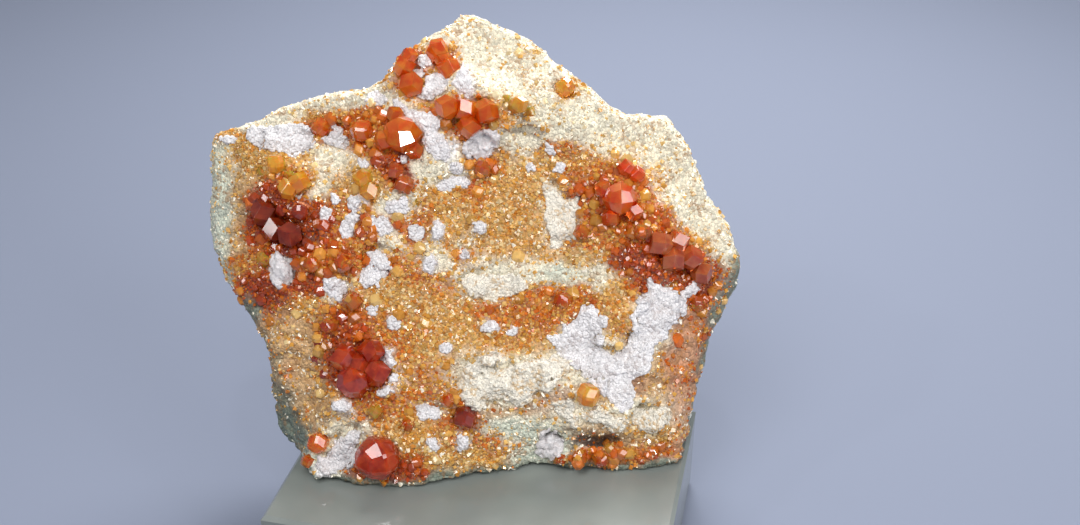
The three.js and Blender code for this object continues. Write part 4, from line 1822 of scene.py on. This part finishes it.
@dataclass
class Masses:
    """Masses of feldspar or quartz, grown together from many grains on the rock.

    The grains stand a pitch apart, give or take the jitter, and are sought as far as a margin
    round the mass. They reach the full height inside it and a share of that height at its rim,
    give or take the unevenness. Each has a second one at its foot, so that the mass is closed.
    Pitch, edge reach, margin and jitter are in steps, and the sink is a share of the radius.
    """

    rock: BVHTree
    height: float = 0.55 * MM
    smoothing: int = 2
    lump_height: float = 0.22 * MM
    pitch: float = 2.3
    least_grain: float = 0.26 * MM
    most_grain: float = 0.52 * MM
    edge_reach: float = 5.0
    directions: int = 8
    margin: int = 4
    jitter: float = 1.1
    rim: float = 0.2
    uneven_mm: float = 0.1
    foot_mm: float = 0.1
    sink: float = 0.6
    forms: int = 6
    voxel: float = 0.16 * MM
    quick_factor: float = 1.6

    def grains(self, mass: Mass, chance: random.Random) -> list[tuple[Vector, float]]:
        """Places the grains of a mass on the rock.

        Args:
            mass: where the mass shows.
            chance: random numbers for the places and the sizes.

        Returns:
            The middle and the radius of each grain.
        """
        left, right, top, bottom = mass.reach()
        columns = np.arange(left - self.margin, right + self.margin, self.pitch)
        rows = np.arange(top - self.margin, bottom + self.margin, self.pitch)
        grains = []
        spots = []
        for across, down in product(columns, rows):
            place = (across + chance.uniform(-self.jitter, self.jitter),
                     down + chance.uniform(-self.jitter, self.jitter))
            spot = self.rock.ray_cast(EYE, sight(*place))[0]
            if spot is not None:
                spots.append((place, spot))
        places = np.array([place for place, _ in spots])
        drift = drift_at(np.array([spot for _, spot in spots]))
        across, down = wobbled(places, drift, MASS_DRIFT)
        inside = mass.covers(across, down)
        depth = np.zeros(len(spots))
        for angle in np.arange(0, math.tau, math.tau / self.directions):
            shift = self.edge_reach * np.array([math.cos(angle), math.sin(angle)])
            depth += mass.covers(across + shift[0], down + shift[1]) / self.directions
        for (_, spot), within, share in zip(spots, inside, depth):
            if not within:
                continue
            radius = chance.uniform(self.least_grain, self.most_grain)
            lift = self.height * (self.rim + (1 - self.rim) * share)
            lift += chance.uniform(-self.uneven_mm, self.uneven_mm) * MM
            grains.append((spot + OUT * (lift - self.sink * radius), radius))
            grains.append((spot + OUT * self.foot_mm * MM, radius))
        return grains

    def build(
        self,
        name: str,
        mass: Mass,
        rough: bpy.types.NodeTree,
        look: tuple[bpy.types.Material, str],
        nodes: tuple[str, ...],
    ) -> bpy.types.Object:
        """Grows a mass and gives it its finish.

        Args:
            name: the piece's name.
            mass: where the mass shows.
            rough: the rough surface tree.
            look: the mass's material, and the record's slot for it.
            nodes: the nodes that it replaces.

        Returns:
            The mass.
        """
        chance = random.Random(name)
        forms = [crystal_mesh(name, Form.GRAIN, chance) for _ in range(self.forms)]
        gathered = bmesh.new()
        for middle, radius in self.grains(mass, chance):
            grain = chance.choice(forms).copy()
            turn = Matrix.Rotation(chance.uniform(0, math.tau), 4, "Y")
            grain.transform(Matrix.Translation(middle) @ turn @ Matrix.Scale(radius, 4))
            gathered.from_mesh(grain)
            bpy.data.meshes.remove(grain)
        mesh = bpy.data.meshes.new(name)
        gathered.to_mesh(mesh)
        gathered.free()
        for form in forms:
            bpy.data.meshes.remove(form)
        piece = new_piece(name, mesh)
        remesh(piece, self.voxel, self.smoothing)
        store(piece.data, "ledge", np.zeros(len(piece.data.vertices)))
        roughness = Roughness(1.4 * MM, self.lump_height, 0.3 * MM, 0.5 * MM, 0.08 * MM)
        roughness.carve(piece, rough)
        material, slot = look
        finish_piece(piece, material, nodes)
        return piece


@dataclass(frozen=True)
class Lamp:
    """A soft, square light: where it hangs, the length of its sides, and its power in watts."""

    name: str
    place: tuple[float, float, float]
    size: float
    power: float

    def hang(self) -> None:
        """Hangs the light, turned to the stone."""
        light = bpy.data.lights.new(self.name, "AREA")
        light.shape = "SQUARE"
        light.size = self.size
        light.energy = self.power
        lamp = bpy.data.objects.new(self.name, light)
        lamp.location = self.place
        aim = FACE_MIDDLE - Vector(self.place)
        lamp.rotation_euler = aim.to_track_quat("-Z", "Y").to_euler()
        bpy.context.scene.collection.objects.link(lamp)


LAMPS = (
    Lamp("softbox", (-0.1, -0.22, 0.42), 0.24, 1.2),
    Lamp("back softbox", (0.06, 0.24, 0.3), 0.2, 1.6),
    Lamp("fill", (0.3, -0.2, 0.28), 0.26, 0.9),
    Lamp("glint left", (-0.26, -0.12, 0.34), 0.022, 0.12),
    Lamp("glint right", (0.195, -0.25, 0.09), 0.022, 0.12),
    Lamp("glint top", (0.0, -0.06, 0.5), 0.03, 0.16),
)


@dataclass
class Studio:
    """The floor, the lights and the camera."""

    floor_half: float = 0.9
    floor_colour: Rgb = (122, 129, 147)
    floor_roughness: float = 0.8
    room_light: tuple[float, float, float, float] = (0.66, 0.7, 0.77, 1.0)
    room_strength: float = 0.28
    nearest: float = 0.01

    def floor(self) -> None:
        """Lays a plain pale floor."""
        mesh = bpy.data.meshes.new("floor")
        half = self.floor_half
        corners = [(-half, -half, 0), (half, -half, 0), (half, half, 0), (-half, half, 0)]
        mesh.from_pydata(corners, [], [(0, 1, 2, 3)])
        floor = new_piece("floor", mesh)
        material, _, shader = new_material("Pale floor")
        shader.inputs["Base Color"].default_value = linear(self.floor_colour)
        shader.inputs["Roughness"].default_value = self.floor_roughness
        mesh.materials.append(material)

    def light(self) -> None:
        """Sets up the lights and the plain surroundings."""
        for lamp in LAMPS:
            lamp.hang()
        world = bpy.data.worlds.new("soft room")
        world.use_nodes = True
        backdrop = world.node_tree.nodes["Background"]
        backdrop.inputs["Color"].default_value = self.room_light
        backdrop.inputs["Strength"].default_value = self.room_strength
        bpy.context.scene.world = world
        bpy.context.scene.view_settings.view_transform = "Standard"

    def camera(self) -> None:
        """Sets up the camera, straight in front of the face."""
        lens = bpy.data.cameras.new("camera")
        lens.sensor_width = SENSOR_WIDTH
        lens.lens = SENSOR_WIDTH * VIEW_DISTANCE / STEP / STEPS_ACROSS
        lens.clip_start = self.nearest
        camera = bpy.data.objects.new("camera", lens)
        camera.location = EYE
        camera.rotation_euler = (math.pi / 2 - LEAN_BACK, 0, 0)
        bpy.context.scene.collection.objects.link(camera)
        bpy.context.scene.camera = camera


# What each crust is made of. The finish of its crystals goes by its slot.
CRUSTS = (
    Crust(
        "fine_garnet_crust", "garnet_orange", Form.SHARD, forms=8, where="crystals",
        spacing=0.38 * MM, smallest=0.2 * MM, largest=0.5 * MM, sink=0.15, tint_range=0.4, seed=11,
    ),
    Crust(
        "coarse_garnet_crust", "garnet_orange", Form.EDGED, forms=4, where="coarse",
        spacing=0.95 * MM, smallest=0.45 * MM, largest=1.15 * MM, sink=0.2, tint_range=0.34, seed=23,
    ),
    Crust(
        "pale_grain_crust", "feldspar_cream", Form.GRAIN, forms=5, where="grains",
        spacing=0.42 * MM, smallest=0.14 * MM, largest=0.6 * MM, sink=0.45, tint_range=0.2, seed=37,
    ),
)

# The finishes, some of them by the record's slot. Then come the masses that stand higher than
# the others, and those that are whiter than their slot's finish.
ROCK_FINISH = StoneFinish("Crusted rock", "ground", (160, 110, 58), 0.5 * MM, 0.6, 0.6, 0.16 * MM)
GRAIN_FINISH = StoneFinish(
    "Pale grains", (242, 235, 216), (218, 168, 84), 0.6 * MM, 0.6, 1.3, 0.05 * MM
)
GEM_FINISH = DruseFinish("Small garnets", 1.05, 0.3)
FELDSPAR_FINISHES = {
    "feldspar_white": StoneFinish(
        "White feldspar", (232, 228, 228), (196, 186, 184), 0.42 * MM, 0.3, 0.8, 0.16 * MM
    ),
    "feldspar_cream": StoneFinish(
        "Cream feldspar", (238, 230, 214), (212, 180, 136), 0.42 * MM, 0.34, 0.9, 0.16 * MM
    ),
}
HIGH_MASSES = ("feldspar_low_mass", "feldspar_low_ridge")
WHITE_MASSES = ("feldspar_great_y",)
GARNET_FINISHES = {
    "garnet_red": GarnetFinish("Deep red garnet", (176, 44, 16), (246, 108, 50), (232, 100, 50), 100.0),
    "garnet_bright": GarnetFinish("Bright red garnet", (232, 70, 14), (255, 150, 60), (250, 110, 40), 90.0),
    "garnet_orange": GarnetFinish("Orange garnet", (232, 88, 12), (255, 164, 56), (250, 140, 44), 90.0),
    "garnet_amber": GarnetFinish("Amber garnet", (252, 150, 24), (255, 212, 88), (253, 184, 68), 60.0),
    "garnet_brown": GarnetFinish("Brown garnet", (206, 88, 36), (248, 150, 84), (236, 130, 76), 100.0),
}
DARK_GARNET = GarnetFinish("Dark red garnet", (134, 38, 20), (206, 88, 46), (212, 80, 46), 200.0)


def main() -> None:
    """Builds the specimen, piece by piece."""
    logging.basicConfig(level=logging.INFO, format="%(message)s")
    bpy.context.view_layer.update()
    studio = Studio()
    studio.camera()
    studio.light()
    studio.floor()

    grain_group = stone_grain_group()
    tint_group = crystal_tint_group()
    depth_group = garnet_depth_group()
    rough = rough_surface_tree()
    druse = druse_tree()

    rock = CrustedRock().build(rough, ROCK_FINISH.make(grain_group))
    crust_looks = {
        "garnet_orange": GEM_FINISH.make(tint_group),
        "feldspar_cream": GRAIN_FINISH.make(grain_group),
    }
    for crust in CRUSTS:
        crust.build(rock, druse, crust_looks[crust.slot])

    garnets = Garnets()
    looks = {slot: finish.make(depth_group) for slot, finish in GARNET_FINISHES.items()}
    dark_look = DARK_GARNET.make(depth_group)
    ground = search_tree(rock.data)
    feldspar = Masses(ground)
    high = Masses(ground, height=0.9 * MM, lump_height=0.5 * MM)
    quartz = Masses(ground, height=1.1 * MM, smoothing=5, lump_height=0.5 * MM)
    feldspar_looks = {
        slot: finish.make(grain_group) for slot, finish in FELDSPAR_FINISHES.items()
    }
    quartz_look = (QuartzFinish().make(grain_group), "quartz_grey")
    for part in frame["record"]["subparts"]:
        node, slot = part["node"], part["material_slot"]
        if slot in looks:
            garnets.dress(node, dark_look if "dark" in node else looks[slot])
        elif slot in feldspar_looks:
            tone = "feldspar_white" if node in WHITE_MASSES else slot
            look = (feldspar_looks[tone], slot)
            growth = high if node in HIGH_MASSES else feldspar
            growth.build(f"{node}_mass", MASSES[node], rough, look, (node,))
        elif slot == "quartz_grey":
            quartz.build(f"{node}_mass", MASSES[node], rough, quartz_look, (node,))
    white = (feldspar_looks["feldspar_white"], "feldspar_white")
    feldspar.build("small_feldspar_masses", SMALL_MASSES, rough, white, ())
    bed = search_tree(frame["nodes"]["matrix_rock"].data)
    for slot in SMALL_GARNETS:
        garnets.small(bed, slot, looks[slot])

    block = frame["nodes"]["display_block"]
    block_look = BlockFinish().make()
    for holder in block.material_slots:
        holder.material = block_look
    LOG.info("display block dressed")


if __name__ == "__main__":
    main()
